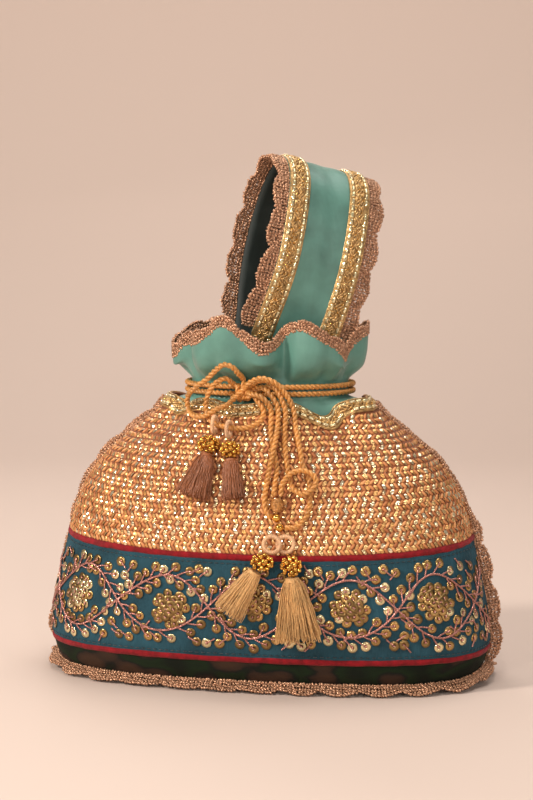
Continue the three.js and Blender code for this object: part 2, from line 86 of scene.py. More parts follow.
class Bumps:
    """The sum of (middle, height, width) bumps round a circle, read by calling it with degrees."""

    STEP = 4

    def __init__(self, *bumps):
        self.table = []
        for k in range(360 * self.STEP + 1):
            deg = k / self.STEP
            total = 0.0
            for middle, high, wide in bumps:
                d = (deg - middle + 180) % 360 - 180
                total += high * math.exp(-((d / wide) ** 2))
            self.table.append(total)

    def __call__(self, deg):
        x = deg % 360 * self.STEP
        i = int(x)
        return self.table[i] + (self.table[min(i + 1, 360 * self.STEP)] - self.table[i]) * (x - i)


# ---- sizes of the bag, in millimetres ----------------------------------------------------------
CLOTH = 1.2
GAP = 0.3
LOWER_TRIM_Z = 18.5
UPPER_TRIM_Z = 77
TRIM_SAG = 4.5
TRIM_HIGH = 3.4
PANEL_TOP_Z = 151
BRAID_WIDE = 6.5
SCALLOP = 21
FLECK_PITCH = 4.4
NECK_W, NECK_D = 42.3, 29.3
RIM_Z = 180
CORD, CORD_TWIST = 3.2, 5.4
STRAP_HALF = 23
STRAP_BRAID = 11.5

HALF_WIDTH = Line(
    (0, 110), (4, 114), (12, 118), (24, 120.5), (40, 119), (60, 114.5), (78, 110.5), (90, 107),
    (100, 103), (110, 97), (118, 90.5), (126, 81.5), (134, 71), (142, 61), (152, 51))
HALF_DEPTH = Line(
    (0, 48), (4, 52), (12, 58), (24, 62), (40, 63.5), (60, 63.5), (78, 62), (90, 60),
    (100, 57.5), (110, 54.5), (118, 51.5), (126, 48), (134, 43.5), (142, 38), (152, 31.8))
SQUARENESS = Line((0, 2.7), (40, 2.5), (80, 2.3), (120, 2.15), (155, 2))
# Pleats, dips of the panels' top edge, folds of the cuff and waves of its rim:
# middle in degrees from +X, height, width in degrees.
PLEATS = Bumps(
    (-54, -8, 13), (-22, 5, 14), (-92, 3, 18), (-140, -6, 10), (-165, 3, 10),
    (35, -6, 14), (72, 4, 16), (100, -5, 12), (150, -6, 14), (172, 2, 10))
EDGE_DIPS = Bumps((-54, 9, 12), (-100, 2.5, 14), (-140, 4, 9), (35, 7, 13), (100, 6, 12), (150, 5, 12))
CUFF_FOLDS = Bumps(
    (-71, -9, 7), (-112, 4, 22), (-45, 4, 18), (-150, -5, 9), (-176, 4, 14), (-20, -3, 8), (5, 4, 12),
    (38, -4, 10), (66, 5, 14), (95, -3, 9), (125, 4, 15), (152, -4, 9))
RIM_WAVES = Bumps(
    (-140, -2, 12), (-109, 8, 11), (-85, -5, 10), (-62, 6, 10), (-26, -8, 13), (5, 3, 14), (60, 2, 20),
    (140, 3, 20), (-172, -8, 14))
# Finer gathers that the drawstring pulls into the cloth: middle, height, width.
GATHERS = Bumps(
    (-166, -1.6, 5), (-152, 1.2, 4), (-128, 1.3, 5), (-116, -1.5, 4), (-103, 1.1, 4), (-80, -1.3, 4),
    (-66, 1.5, 4), (-44, -1.6, 4), (-34, 1.4, 4), (-12, -1.3, 5), (12, -1.4, 5), (24, 1.2, 5), (50, -1.5, 5),
    (60, 1, 4), (86, -1.4, 5), (112, 1.3, 5), (124, -1.5, 5), (138, 1.2, 5), (162, -1.4, 5), (176, 1.2, 5))

HANDLE_LINE = [
    (-14, 1), (-18, 10), (-21, 20), (-25, 36), (-28, 54), (-29, 73), (-26, 93), (-19.5, 107.5), (-9, 115.5),
    (3, 117), (14, 111.5), (22.5, 99), (27.5, 82), (28, 63), (26, 44), (22, 26), (18, 12), (14, 1)]
YAW_FOOT, YAW_TOP = 22, 31
HANDLE_LEAN = 13 * RAD
HANDLE_FOOT = Vector((2, 0, 158.6))

KNOT = Vector((-6, -34.8, 156))
# The cord's free runs: across, up, and out from the front of the bag, each from the knot.
RUNS = {
    "bow_loop_high": [
        (-7, 162.2, -4.6), (-8.6, 166, 2), (-11, 169.2, 5.2), (-15.5, 170.2, 5.6), (-20.5, 166.8, 5.6),
        (-25.5, 162, 5.5), (-32, 157.5, 8.5), (-37.5, 152, 9), (-37.5, 146.8, 8), (-32.5, 143.2, 7),
        (-25.5, 143.4, 8), (-19.2, 147, 9), (-14, 149, 5.4), (-11.5, 151.6, 0.6)],
    "bow_loop_low": [
        (-12.5, 159.5, -4.5), (-16, 162.5, 0), (-20.5, 160.5, 3), (-24, 156, 4.5), (-26, 151, 4.8),
        (-26, 146.5, 4.6), (-24, 142.3, 4), (-20.5, 139.8, 5), (-16, 138.6, 5.2), (-11, 138, 5.2),
        (-5, 137.6, 3.8), (1, 139.2, 3.2), (5, 142.4, 3.6), (5.8, 146, 4), (4.2, 149.6, 4), (1.9, 152, 2.4),
        (0, 153.6, -1.4)],
    "tail_outer": [
        (0.2, 157, -3.5), (5, 157.6, -0.5), (10, 153.4, 3), (13, 147.5, 4.6), (13.4, 141, 3.4), (13.6, 134, 5),
        (12.8, 127, 6.4), (11.4, 119, 5), (9.8, 110, 2.3), (9.2, 102.5, 2.3), (10.2, 97, 2.6), (12.8, 94, 3.2)],
    "tail_inner": [
        (-1.6, 155.2, 2.2), (3.2, 154.6, 5.6), (7.6, 151.2, 5.6), (9.4, 147, 4.2), (9.7, 142, 3),
        (10.4, 134, 2.2), (12.8, 125, 2.2), (14.6, 118, 2.2), (14.2, 110.5, 2.3), (14, 104.4, 2.9)],
    "tail_curl": [
        (-0.3, 160.6, -4.5), (6, 161.6, -2), (11.5, 157.4, 1.4), (14.9, 151.8, 4), (16.8, 145.6, 4.6),
        (17, 137, 2.2), (18, 127, 2.2), (20, 118.4, 2.2), (21.8, 111.4, 2.4), (24.8, 107.4, 4.2),
        (29.4, 105.8, 5.8), (33.6, 107.8, 5.9), (35.6, 111.4, 5.9), (34, 115, 5.9), (29.6, 117.2, 5.9),
        (25, 117, 6.1), (20.8, 114.2, 6.2), (18.2, 110, 4.8), (17.7, 104.4, 3.2)],
    "tail_right": [
        (-3, 160.2, 2.6), (4, 163.4, 4), (11.6, 161, 4.6), (17.4, 154, 4.6), (20.6, 146.8, 5.4),
        (22.6, 137, 2.2), (25.6, 127, 2.2), (28, 118.6, 2.2), (30.6, 114.6, 2.2), (31.8, 110, 2.2),
        (32.4, 104, 2.2), (32.4, 99, 2.2), (30.8, 93.8, 2.2), (27.4, 89.8, 2.2), (23.6, 88.4, 2.4),
        (20.7, 88.7, 2.9)],
}
# The cord keeps off the shoulder as the cloth draws in under the neck: height, clearance.
STAND_OFF = Line((124, 0), (134, 1.5), (142, 3), (147, 3.6))
# How far the side lace is folded toward the back at each height, in degrees.
LACE_FOLD = {
    "right": Line((60, 28), (80, 42), (92, 84), (134, 84), (147, 60)),
    "left": Line((20, 5), (32, 55), (74, 58), (90, 28), (150, 20)),
}
LACE_ROOT = 1.2
# Flowers of the embroidered band, as the distance along it from the middle and the height.
FLOWERS = [(-98, 47), (-40, 44), (4, 50), (54, 48), (100, 49)]


# ---- shape of the bag --------------------------------------------------------------------------
def smooth(x, lo, hi):
    t = min(max((x - lo) / (hi - lo), 0), 1)
    return t * t * (3 - 2 * t)


def mix(a, b, t):
    return a + (b - a) * t


def oval(a, z, w, d, n, fold):
    c, s = math.cos(a), math.sin(a)
    k = (abs(c) ** n + abs(s) ** n) ** (-1 / n)
    nx, ny = c / w, s / d
    size = math.hypot(nx, ny)
    return Vector((w * k * c + nx / size * fold, d * k * s + ny / size * fold, z))


def bag_at(a, z, fine=0.0):
    """A point on the outside of the bag at angle a and height z; fine adds small gathers near the neck."""
    t = min(max((z - 92) / 58, 0), 1)
    fold = PLEATS(a / RAD) * t * t
    if fine:
        near = smooth(z, 118, 152)
        fold += fine * GATHERS(a / RAD) * near * 0.8
        fold += fine * 0.35 * math.sin(a * 9 + z * 0.05) * math.sin(z * 0.11 + a * 2)
    return oval(a, z, HALF_WIDTH(z), HALF_DEPTH(z), SQUARENESS(z), fold)


def normal_at(at, u, v, dv=0.2):
    a = at(u + 1e-3, v) - at(u - 1e-3, v)
    b = at(u, v + dv) - at(u, v - dv)
    return a.cross(b).normalized()


def off(at, u, v, out, dv=0.2):
    return at(u, v) + normal_at(at, u, v, dv) * out


def edge_z(a):
    return PANEL_TOP_Z - EDGE_DIPS(a / RAD)


def upper_trim_z(a):
    return UPPER_TRIM_Z - TRIM_SAG * abs(math.sin(a)) ** 1.5


@functools.lru_cache(4096)
def cuff_column(a):
    """Three lines that give the cuff's x, y and z at angle a."""
    deg = a / RAD
    top = edge_z(a)
    rim = RIM_Z + RIM_WAVES(deg)
    rows = (0, 0.12, 0.2, 0.26, 0.36, 0.46, 0.62, 0.82, 1.25)
    zs = (top - 9, top - 1, 150.6, 151.8, 159.6, 162, 168, rim - 5, rim + 11)
    ws = (0, 0, NECK_W + 0.7, NECK_W, NECK_W, 44, 48, 49, 49.5)
    ds = (0, 0, NECK_D + 0.5, NECK_D, NECK_D, 31.5, 37.5, 40, 40.5)
    swing = (0, 0, 0, 0, 0, 0.25, 0.9, 1, 1)
    fine = (0, 0, 0.4, 0.2, 0.2, 1.3, 1.2, 0.55, 0.35)
    folds, gathers = CUFF_FOLDS(deg), GATHERS(deg)
    tuck = -CLOTH - 2 * GAP - 0.7
    points = [off(bag_at, a, zs[i], tuck) for i in (0, 1)]
    for i in range(2, 9):
        points.append(oval(a, zs[i], ws[i], ds[i], 2, swing[i] * folds + fine[i] * (gathers - 0.6)))
    return [Line(*((rows[i], p[k]) for i, p in enumerate(points))) for k in range(3)]


def cuff_at(a, r):
    """The satin cuff at angle a, r from 0 at its sewn edge to 1 at its rim, over 1 into the lace."""
    return Vector([line(r) for line in cuff_column(a)])


@functools.lru_cache(4096)
def front_y(x, z):
    h = min(z, 147)
    lo, hi = -math.pi, 0.0
    for _ in range(40):
        m = (lo + hi) / 2
        if bag_at(m, h).x < x:
            lo = m
        else:
            hi = m
    return bag_at((lo + hi) / 2, h).y


def in_front(x, z, out):
    return Vector((x, front_y(x, z) - STAND_OFF(z) - out, z))


def run_along(points):
    """The distance along a line of points, at each of them."""
    steps = [(b - a).length for a, b in zip(points, points[1:])]
    return np.concatenate(([0], np.cumsum(steps)))


def run_of(path):
    """The same for an array of points."""
    return np.concatenate(([0], np.cumsum(np.linalg.norm(np.diff(path, axis=0), axis=1))))


def curve_through(points, step):
    """Points at an even step along the smooth curve through these ones."""
    p = [np.array(q, float) for q in points]
    p = [2 * p[0] - p[1], *p, 2 * p[-1] - p[-2]]
    fine = []
    for i in range(1, len(p) - 2):
        d = [max(np.linalg.norm(p[i + k] - p[i + k - 1]) ** 0.5, 1e-4) for k in (0, 1, 2)]
        m1 = ((p[i] - p[i - 1]) / d[0] - (p[i + 1] - p[i - 1]) / (d[0] + d[1]) + (p[i + 1] - p[i]) / d[1]) * d[1]
        m2 = ((p[i + 1] - p[i]) / d[1] - (p[i + 2] - p[i]) / (d[1] + d[2]) + (p[i + 2] - p[i + 1]) / d[2]) * d[1]
        for t in np.arange(24) / 24:
            fine.append((2 * t**3 - 3 * t**2 + 1) * p[i] + (t**3 - 2 * t**2 + t) * m1
                        + (3 * t**2 - 2 * t**3) * p[i + 1] + (t**3 - t**2) * m2)
    fine.append(p[-2])
    fine = np.array(fine)
    run = run_of(fine)
    n = max(4, round(run[-1] / step))
    at = np.linspace(0, run[-1], n + 1)
    return np.stack([np.interp(at, run, fine[:, k]) for k in range(3)], 1), run[-1]


HANDLE_PATH, HANDLE_LONG = curve_through([(h, v, 0) for h, v in HANDLE_LINE], 0.5)


def handle_at(u, w, out):
    """A point on the handle: u along it, w across from its middle, out from its middle layer."""
    last = len(HANDLE_PATH) - 1
    x = min(max(u, 0), 1) * last
    i = min(int(x), last - 1)
    p = HANDLE_PATH[i] + (HANDLE_PATH[i + 1] - HANDLE_PATH[i]) * (x - i)
    lo, hi = max(i - 4, 0), min(i + 5, last)
    t = HANDLE_PATH[hi] - HANDLE_PATH[lo]
    t = t / np.linalg.norm(t)
    narrow = 1 - 0.3 * max(0, 1 - min(u, 1 - u) / 0.09)
    h, v = p[0] - t[1] * out, p[1] + t[0] * out
    yaw = mix(YAW_FOOT, YAW_TOP, smooth(p[1], 4, 66)) * RAD
    level = Vector((math.cos(yaw), math.sin(yaw), 0))
    sideways = v * math.sin(HANDLE_LEAN) + w * narrow * math.cos(HANDLE_LEAN)
    up = v * math.cos(HANDLE_LEAN) - w * narrow * math.sin(HANDLE_LEAN)
    return HANDLE_FOOT + Vector((-h * level.y, h * level.x, up)) + level * sideways


# ---- making pieces -----------------------------------------------------------------------------
def finished(obj, slot, *nodes):
    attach(obj, "root")
    if nodes:
        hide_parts(*nodes)
    return obj


def new_object(name, mesh, *materials):
    for material in materials:
        mesh.materials.append(material)
    obj = bpy.data.objects.new(name, mesh)
    bpy.context.scene.collection.objects.link(obj)
    return obj


def smooth_object(name, bm, material):
    for face in bm.faces:
        face.smooth = True
    mesh = bpy.data.meshes.new(name)
    bm.to_mesh(mesh)
    bm.free()
    return new_object(name, mesh, material)


def cloth_piece(name, place, across, up, material, thick=0.0, closed=False, scale=(1, 1), ease=0):
    """A woven sheet: a flat grid whose points are moved to place(u, v). Its UV map is in millimetres."""
    bm = bmesh.new()
    bmesh.ops.create_grid(bm, x_segments=across, y_segments=up, size=0.5)
    layer = bm.loops.layers.uv.new("cloth")
    for face in bm.faces:
        for loop in face.loops:
            co = loop.vert.co
            loop[layer].uv = ((co.x + 0.5) * scale[0], (co.y + 0.5) * scale[1])
    for vert in bm.verts:
        vert.co = Vector(place(vert.co.x + 0.5, vert.co.y + 0.5)) * MM
    if closed:
        bmesh.ops.remove_doubles(bm, verts=bm.verts, dist=2e-6)
    for _ in range(ease):
        inner = [v for v in bm.verts if not v.is_boundary]
        bmesh.ops.smooth_vert(bm, verts=inner, factor=0.5, use_axis_x=True, use_axis_y=True, use_axis_z=True)
    obj = smooth_object(name, bm, material)
    if thick:
        solid = obj.modifiers.new("cloth", "SOLIDIFY")
        solid.thickness = thick * MM
        solid.offset = -1
    return obj


def thread_piece(name, lines, material, sides=0):
    """Round threads along lines of (x, y, z, radius) in millimetres, as one object."""
    curve = bpy.data.curves.new(name, "CURVE")
    curve.dimensions = "3D"
    curve.bevel_depth = MM
    curve.bevel_resolution = sides
    curve.use_fill_caps = True
    for line in lines:
        line = np.asarray(line, float)
        spline = curve.splines.new("POLY")
        spline.points.add(len(line) - 1)
        points = np.ones((len(line), 4))
        points[:, :3] = line[:, :3] * MM
        spline.points.foreach_set("co", points.ravel())
        spline.points.foreach_set("radius", line[:, 3].copy())
    holder = bpy.data.objects.new(name, curve)
    bpy.context.scene.collection.objects.link(holder)
    bpy.context.view_layer.update()
    mesh = bpy.data.meshes.new_from_object(holder.evaluated_get(bpy.context.evaluated_depsgraph_get()))
    bpy.data.objects.remove(holder)
    bpy.data.curves.remove(curve)
    mesh.name = name
    mesh.polygons.foreach_set("use_smooth", np.ones(len(mesh.polygons), bool))
    mesh.materials.clear()
    return new_object(name, mesh, material)


def repeated(name, template, places, materials, kinds=None, seed=0):
    """Copies of one small shape at the 4x4 places in millimetres, with a random tint on each; frees the shape."""
    verts = np.array([v.co[:] for v in template.verts])
    faces = [[v.index for v in f.verts] for f in template.faces]
    template.free()
    sizes = np.array([len(f) for f in faces])
    flat = np.array([i for f in faces for i in f])
    mats = np.array([np.array(m) for m in places])
    n, k = len(mats), len(verts)
    co = np.einsum("nij,kj->nki", mats[:, :3, :3], verts) + mats[:, None, :3, 3]
    loops = (flat[None, :] + np.arange(n)[:, None] * k).ravel()
    mesh = bpy.data.meshes.new(name)
    mesh.vertices.add(n * k)
    mesh.vertices.foreach_set("co", (co * MM).ravel())
    mesh.loops.add(len(loops))
    mesh.loops.foreach_set("vertex_index", loops)
    totals = np.tile(sizes, n)
    mesh.polygons.add(len(totals))
    mesh.polygons.foreach_set("loop_start", np.concatenate(([0], np.cumsum(totals)[:-1])))
    mesh.polygons.foreach_set("use_smooth", np.ones(len(totals), bool))
    if kinds is not None:
        mesh.polygons.foreach_set("material_index", np.repeat(np.array(kinds), len(faces)))
    tint = mesh.attributes.new("tint", "FLOAT", "POINT")
    rng = np.random.default_rng(seed)
    tint.data.foreach_set("value", np.repeat(rng.random(n), k).astype(np.float32))
    mesh.update(calc_edges=True)
    mesh.validate()
    return new_object(name, mesh, *materials)


def set_on(point, along, normal, sx=1.0, sy=1.0, sz=1.0, turn=0.0, tip=0.0):
    """A place on a surface: y runs along, z along the normal; turned about the normal, tipped about y."""
    z = normal.normalized()
    y = (along - z * along.dot(z)).normalized()
    x = y.cross(z)
    base = Matrix((x, y, z)).transposed().to_4x4()
    m = Matrix.Translation(point) @ base @ Matrix.Rotation(turn, 4, "Z") @ Matrix.Rotation(tip, 4, "Y")
    return m @ Matrix.Diagonal((sx, sy, sz, 1))


def ball(u=8, v=6):
    bm = bmesh.new()
    bmesh.ops.create_uvsphere(bm, u_segments=u, v_segments=v, radius=1)
    return bm


def bar_bead():
    """A short tube bead with rounded ends, one unit in radius and two long, along Y."""
    bm = bmesh.new()
    bmesh.ops.create_cone(bm, cap_ends=True, segments=8, radius1=1, radius2=1, depth=2,
                          matrix=Matrix.Rotation(math.pi / 2, 4, "X"))
    rims = [e for e in bm.edges
            if abs(abs(e.verts[0].co.y) - 1) < 1e-3 and abs(e.verts[0].co.y - e.verts[1].co.y) < 1e-3]
    bmesh.ops.bevel(bm, geom=rims, offset=0.3, segments=2, profile=0.5, affect="EDGES", material=-1)
    return bm


def spun(outline, steps):
    """A closed outline of (radius, height) turned about Z."""
    bm = bmesh.new()
    ring = [bm.verts.new((r, 0, z)) for r, z in outline]
    edges = [bm.edges.new(pair) for pair in zip(ring, ring[1:] + ring[:1])]
    bmesh.ops.spin(bm, geom=ring + edges, cent=(0, 0, 0), axis=(0, 0, 1), angle=2 * math.pi, steps=steps,
                   use_merge=True)
    bmesh.ops.remove_doubles(bm, verts=bm.verts, dist=1e-4)
    bmesh.ops.recalc_face_normals(bm, faces=bm.faces)
    return bm


def sequin():
    """A thin cupped disc with a hole in the middle, one unit in radius."""
    return spun(((0.16, -0.03), (0.6, -0.02), (1, 0.06), (1, 0.1), (0.16, 0.03)), 14)


def fleck():
    """A float of flat metallic ribbon between two tucks: a short strip that bulges in the middle."""
    bm = bmesh.new()
    bmesh.ops.create_grid(bm, x_segments=2, y_segments=4, size=1)
    for vert in bm.verts:
        x, y = vert.co.x, vert.co.y
        vert.co = Vector((x * (1 - 0.45 * y * y), y, 0.9 * (1 - y * y) * (1 - 0.4 * x * x) - 0.25))
    return bm


def frames(path):
    """Two directions square to the path at each point, turning as little as they can."""
    t = np.gradient(path, axis=0)
    t /= np.linalg.norm(t, axis=1)[:, None]
    n = np.cross(t[0], (0.3, 0.1, 0.95))
    n /= np.linalg.norm(n)
    normals = []
    for k in range(len(path)):
        n = n - t[k] * n.dot(t[k])
        n = n / np.linalg.norm(n)
        normals.append(n)
    normals = np.array(normals)
    return normals, np.cross(t, normals)


def plies(path, radius, pitch, count=2, phase=0.0):
    """Strands twisted round a path: each is a line of (x, y, z, radius)."""
    path = np.asarray(path, float)
    run = run_of(path)
    strand = radius * (0.54 if count == 2 else 0.5)
    turn = radius - strand
    lines = []
    normals, binormals = frames(path)
    for k in range(count):
        a = (2 * math.pi * (run / pitch + k / count) + phase)[:, None]
        q = path + (normals * np.cos(a) + binormals * np.sin(a)) * turn
        lines.append(np.column_stack((q, np.full(len(q), strand))))
    return lines


# ---- finishes ----------------------------------------------------------------------------------
class Finish:
    """A material being put together from nodes."""

    def __init__(self, name, color, rough, metal=0.0, **shader):
        self.material = bpy.data.materials.new(name)
        self.material.use_nodes = True
        self.tree = self.material.node_tree
        self.shader = self.tree.nodes["Principled BSDF"]
        self.fill(self.shader, {"Base_Color": (*color, 1), "Roughness": rough, "Metallic": metal, **shader})
        self.where = self.tree.nodes.new("ShaderNodeTexCoord")
        self.material.diffuse_color = (*color, 1)

    def fill(self, node, values):
        for key, value in values.items():
            socket = node.inputs[int(key[1:])] if key[0] == "_" else node.inputs[key.replace("_", " ")]
            if isinstance(value, bpy.types.NodeSocket):
                self.tree.links.new(value, socket)
            else:
                socket.default_value = value

    def add(self, kind, out=0, props=None, **values):
        node = self.tree.nodes.new("ShaderNode" + kind)
        for key, value in (props or {}).items():
            setattr(node, key, value)
        self.fill(node, values)
        return node.outputs[out]

    def at(self, space="Object", scale=(1, 1, 1), turn=0.0):
        return self.add("Mapping", Vector=self.where.outputs[space], Scale=scale, Rotation=(0, 0, turn))

    def noise(self, vector, scale, detail=3.0, rough=0.55):
        return self.add("TexNoise", Vector=vector, Scale=scale, Detail=detail, Roughness=rough)

    def wave(self, vector, scale, distort=0.0, direction="X"):
        return self.add("TexWave", 1, {"bands_direction": direction}, Vector=vector, Scale=scale, Distortion=distort)

    def math(self, operation, a, b=0.0):
        return self.add("Math", props={"operation": operation}, _0=a, _1=b)

    def ramp(self, value, *stops):
        node = self.tree.nodes.new("ShaderNodeValToRGB")
        self.tree.links.new(value, node.inputs[0])
        while len(node.color_ramp.elements) < len(stops):
            node.color_ramp.elements.new(0.5)
        for element, (place, color) in zip(node.color_ramp.elements, stops):
            element.position = place
            element.color = (*color, 1)
        return node.outputs[0]

    def blend(self, factor, a, b, kind="MIX"):
        return self.add("Mix", out=2, props={"data_type": "RGBA", "blend_type": kind}, _0=factor, _6=a, _7=b)

    def color(self, socket):
        self.fill(self.shader, {"Base_Color": socket})

    def roughness(self, value, low, high):
        r = self.add("MapRange", Value=value, To_Min=low, To_Max=high)
        self.fill(self.shader, {"Roughness": r})

    def bump(self, height, strength, distance):
        n = self.add("Bump", Height=height, Strength=strength, Distance=distance)
        self.fill(self.shader, {"Normal": n})


def woven_ground(color):
    f = Finish("woven_ground", color, 0.7, 0.1, Sheen_Weight=0.1)
    uv = f.where.outputs["UV"]
    twill = f.wave(f.at("UV", (1, 1, 1), 45 * RAD), 0.25)
    patch = f.noise(uv, 0.05, 4)
    base = f.ramp(twill, (0.2, tuple(c * 0.35 for c in color)), (0.9, tuple(c * 0.8 for c in color)))
    f.color(f.blend(f.math("MULTIPLY", patch, 0.5), base, (*color, 1), "OVERLAY"))
    f.bump(twill, 0.6, 0.0004)
    return f.material


def ribbon(name, stops, rough, metal):
    """Strands of the woven cloth: each has its own shade, with fine lines along it."""
    f = Finish(name, stops[1], rough, metal, Specular_IOR_Level=0.6)
    tint = f.add("Attribute", out=2, props={"attribute_name": "tint"})
    f.color(f.ramp(tint, *zip((0.0, 0.5, 1.0), stops)))
    f.roughness(tint, rough + 0.12, rough - 0.08)
    f.bump(f.noise(f.at("Object", (1, 1, 0.3)), 1400, 2), 0.35, 0.0002)
    return f.material


def satin(name, color, rough=0.36):
    f = Finish(name, color, rough, 0.0, Sheen_Weight=0.12, Sheen_Roughness=0.35, Specular_IOR_Level=0.55)
    where = f.at()
    cloud = f.noise(where, 38, 4)
    deep = tuple(c * 0.68 for c in color)
    pale = tuple(min(1, c * 1.2 + 0.01) for c in color)
    shade = f.ramp(cloud, (0.3, deep), (0.5, color), (0.72, pale))
    threads = f.math("ADD", f.wave(where, 560, 1.5, "Z"), f.math("MULTIPLY", f.wave(where, 520, 1.5, "X"), 0.6))
    f.color(f.blend(0.12, shade, threads, "OVERLAY"))
    crumple = f.noise(where, 120, 3)
    f.bump(f.math("ADD", f.math("MULTIPLY", threads, 0.12), crumple), 0.22, 0.0012)
    f.roughness(cloud, rough - 0.06, rough + 0.1)
    return f.material


def cotton(color):
    f = Finish("band_cotton", color, 0.85, 0.0, Specular_IOR_Level=0.3)
    where = f.at()
    weave = f.math("MULTIPLY", f.wave(where, 480, 2, "X"), f.wave(where, 520, 2, "Z"))
    cloud = f.noise(where, 55, 5)
    f.color(f.ramp(f.math("ADD", f.math("MULTIPLY", cloud, 0.75), f.math("MULTIPLY", weave, 0.25)),
                   (0.25, tuple(c * 0.45 for c in color)), (0.5, color), (0.8, tuple(c * 1.7 for c in color))))
    pucker = f.noise(f.at("UV", (1, 0.12, 1)), 0.28, 2)
    f.bump(f.math("ADD", f.math("ADD", weave, cloud), f.math("MULTIPLY", pucker, 6.0)), 0.5, 0.0006)
    return f.material


def brocade(color):
    """Dark green cloth with rows of brown leaf shapes."""
    f = Finish("base_brocade", color, 0.75, 0.0, Specular_IOR_Level=0.25)
    where = f.at()
    leaf = f.add("TexVoronoi", props={"feature": "SMOOTH_F1"}, Vector=f.at("Object", (48, 48, 80), 0.5),
                 Scale=1.0, Smoothness=0.5)
    swirl = f.noise(where, 90, 3)
    mark = f.math("ADD", leaf, f.math("MULTIPLY", swirl, 0.35))
    core = f.ramp(mark, (0.44, (0.05, 0.024, 0.012)), (0.56, (0.032, 0.016, 0.009)), (0.62, (0.004, 0.005, 0.003)),
                  (0.7, color), (0.9, tuple(c * 0.3 for c in color)))
    weave = f.wave(where, 640, 2, "Z")
    f.color(f.blend(0.2, core, weave, "SOFT_LIGHT"))
    f.bump(f.math("ADD", weave, f.math("MULTIPLY", mark, -2.0)), 0.5, 0.0006)
    return f.material


def piping_cloth(color):
    f = Finish("piping_cloth", color, 0.75, 0.0, Sheen_Weight=0.08, Specular_IOR_Level=0.25)
    where = f.at()
    cloud = f.noise(where, 260, 4)
    ribs = f.wave(where, 700, 3, "X")
    f.color(f.ramp(cloud, (0.3, tuple(c * 0.5 for c in color)), (0.6, color),
                   (0.85, tuple(min(1, c * 1.6) for c in color))))
    f.bump(f.math("ADD", ribs, cloud), 0.5, 0.0004)
    return f.material


def metal_thread(name, color, metal, rough, grain=900):
    """Yarn wrapped in bright foil, with painted glints and painted shade in its hollows; each stitch with its own
    tone.
    """
    f = Finish(name, color, rough, metal)
    where = f.at()
    tint = f.add("Attribute", out=2, props={"attribute_name": "tint"})
    painted_glint_speck = f.noise(where, grain, 3, 0.7)
    # Painted light: this speck ramp paints shade into the hollows and pale glints onto the foil.
    tone = f.ramp(painted_glint_speck, (0.3, tuple(c * 0.4 for c in color)), (0.55, color),
                  (0.75, tuple(min(1, c * 1.6 + 0.06) for c in color)))
    f.color(f.blend(f.math("MULTIPLY", tint, 0.55), tone, (*(min(1, c * 1.7 + 0.05) for c in color), 1)))
    f.roughness(painted_glint_speck, rough + 0.15, rough - 0.12)
    f.bump(painted_glint_speck, 0.6, 0.0004)
    return f.material


def cord_yarn(name, color, scale=1500):
    f = Finish(name, color, 0.42, 0.1, Sheen_Weight=0.05, Specular_IOR_Level=0.8)
    where = f.at()
    # Fine fibre streaks: partly the yarn's own fibre tone, partly painted highlight on the fibres and painted shade
    # between them.
    fibre_streak_and_sheen = f.noise(f.at("Object", (1, 1, 0.25)), scale, 2, 0.6)
    cloud = f.noise(where, 70, 3)
    # The colour ramp runs from painted shade to painted highlight, mixed with a random cloud of tone.
    f.color(f.ramp(f.math("ADD", f.math("MULTIPLY", fibre_streak_and_sheen, 0.6), f.math("MULTIPLY", cloud, 0.4)),
                   (0.3, tuple(c * 0.42 for c in color)), (0.52, color),
                   (0.75, tuple(min(1, c * 1.45 + 0.03) for c in color))))
    f.roughness(fibre_streak_and_sheen, 0.5, 0.34)
    f.bump(fibre_streak_and_sheen, 0.5, 0.0003)
    return f.material


def polished(name, color, rough, metal=1.0, spread=0.35):
    """Bright beads and sequins, each a little lighter or darker than the next."""
    f = Finish(name, color, rough, metal, Coat_Weight=0.25, Coat_Roughness=0.12)
    tint = f.add("Attribute", out=2, props={"attribute_name": "tint"})
    f.color(f.ramp(tint, (0.0, tuple(c * (1 - spread) for c in color)),
                   (1.0, tuple(min(1, c * (1 + spread * 0.6)) for c in color))))
    f.roughness(tint, rough + 0.08, max(0.06, rough - 0.06))
    f.bump(f.noise(f.at(), 700, 2), 0.08, 0.0002)
    return f.material


def stage_paper_with_painted_shade(name, color):
    f = Finish(name, color, 0.9)
    # Painted shade: the paper is darker at floor level and reaches its own colour 0.26 m up the sweep.
    height = f.add("SeparateXYZ", out=2, Vector=f.at())
    f.color(f.ramp(height, (0.0, tuple(c * 0.85 for c in color)), (0.26, color)))
    return f.material


def linear(r, g, b):
    """A colour as the eye names it, 0 to 255, as light."""
    return tuple(((c / 255 + 0.055) / 1.055) ** 2.4 if c > 10 else c / 255 / 12.92 for c in (r, g, b))


# ---- settings ----------------------------------------------------------------------------------
def tone(name, text, value):
    return bpy.props.FloatVectorProperty(name=name, description=text, default=value, subtype="COLOR", min=0, max=1)


class POTLI_PG_sizes(bpy.types.PropertyGroup):
    """Sizes of the trimmings."""

    cord: bpy.props.FloatProperty(
        name="Cord", description="Diameter of the twisted drawstring", default=CORD * MM, unit="LENGTH",
        min=0.002, max=0.004)
    sequin: bpy.props.FloatProperty(
        name="Sequin", description="Diameter of a sequin", default=0.0052, unit="LENGTH", min=0.003, max=0.007)
    bead: bpy.props.FloatProperty(
        name="Tassel bead", description="Diameter of the small beads over each tassel", default=0.0025,
        unit="LENGTH", min=0.0015, max=0.0035)
    row: bpy.props.FloatProperty(
        name="Weave row", description="Distance between rows of metallic flecks", default=0.0025,
        unit="LENGTH", min=0.002, max=0.006)
    threads: bpy.props.IntProperty(
        name="Tassel threads", description="Threads in each tassel", default=360, min=60, max=500)


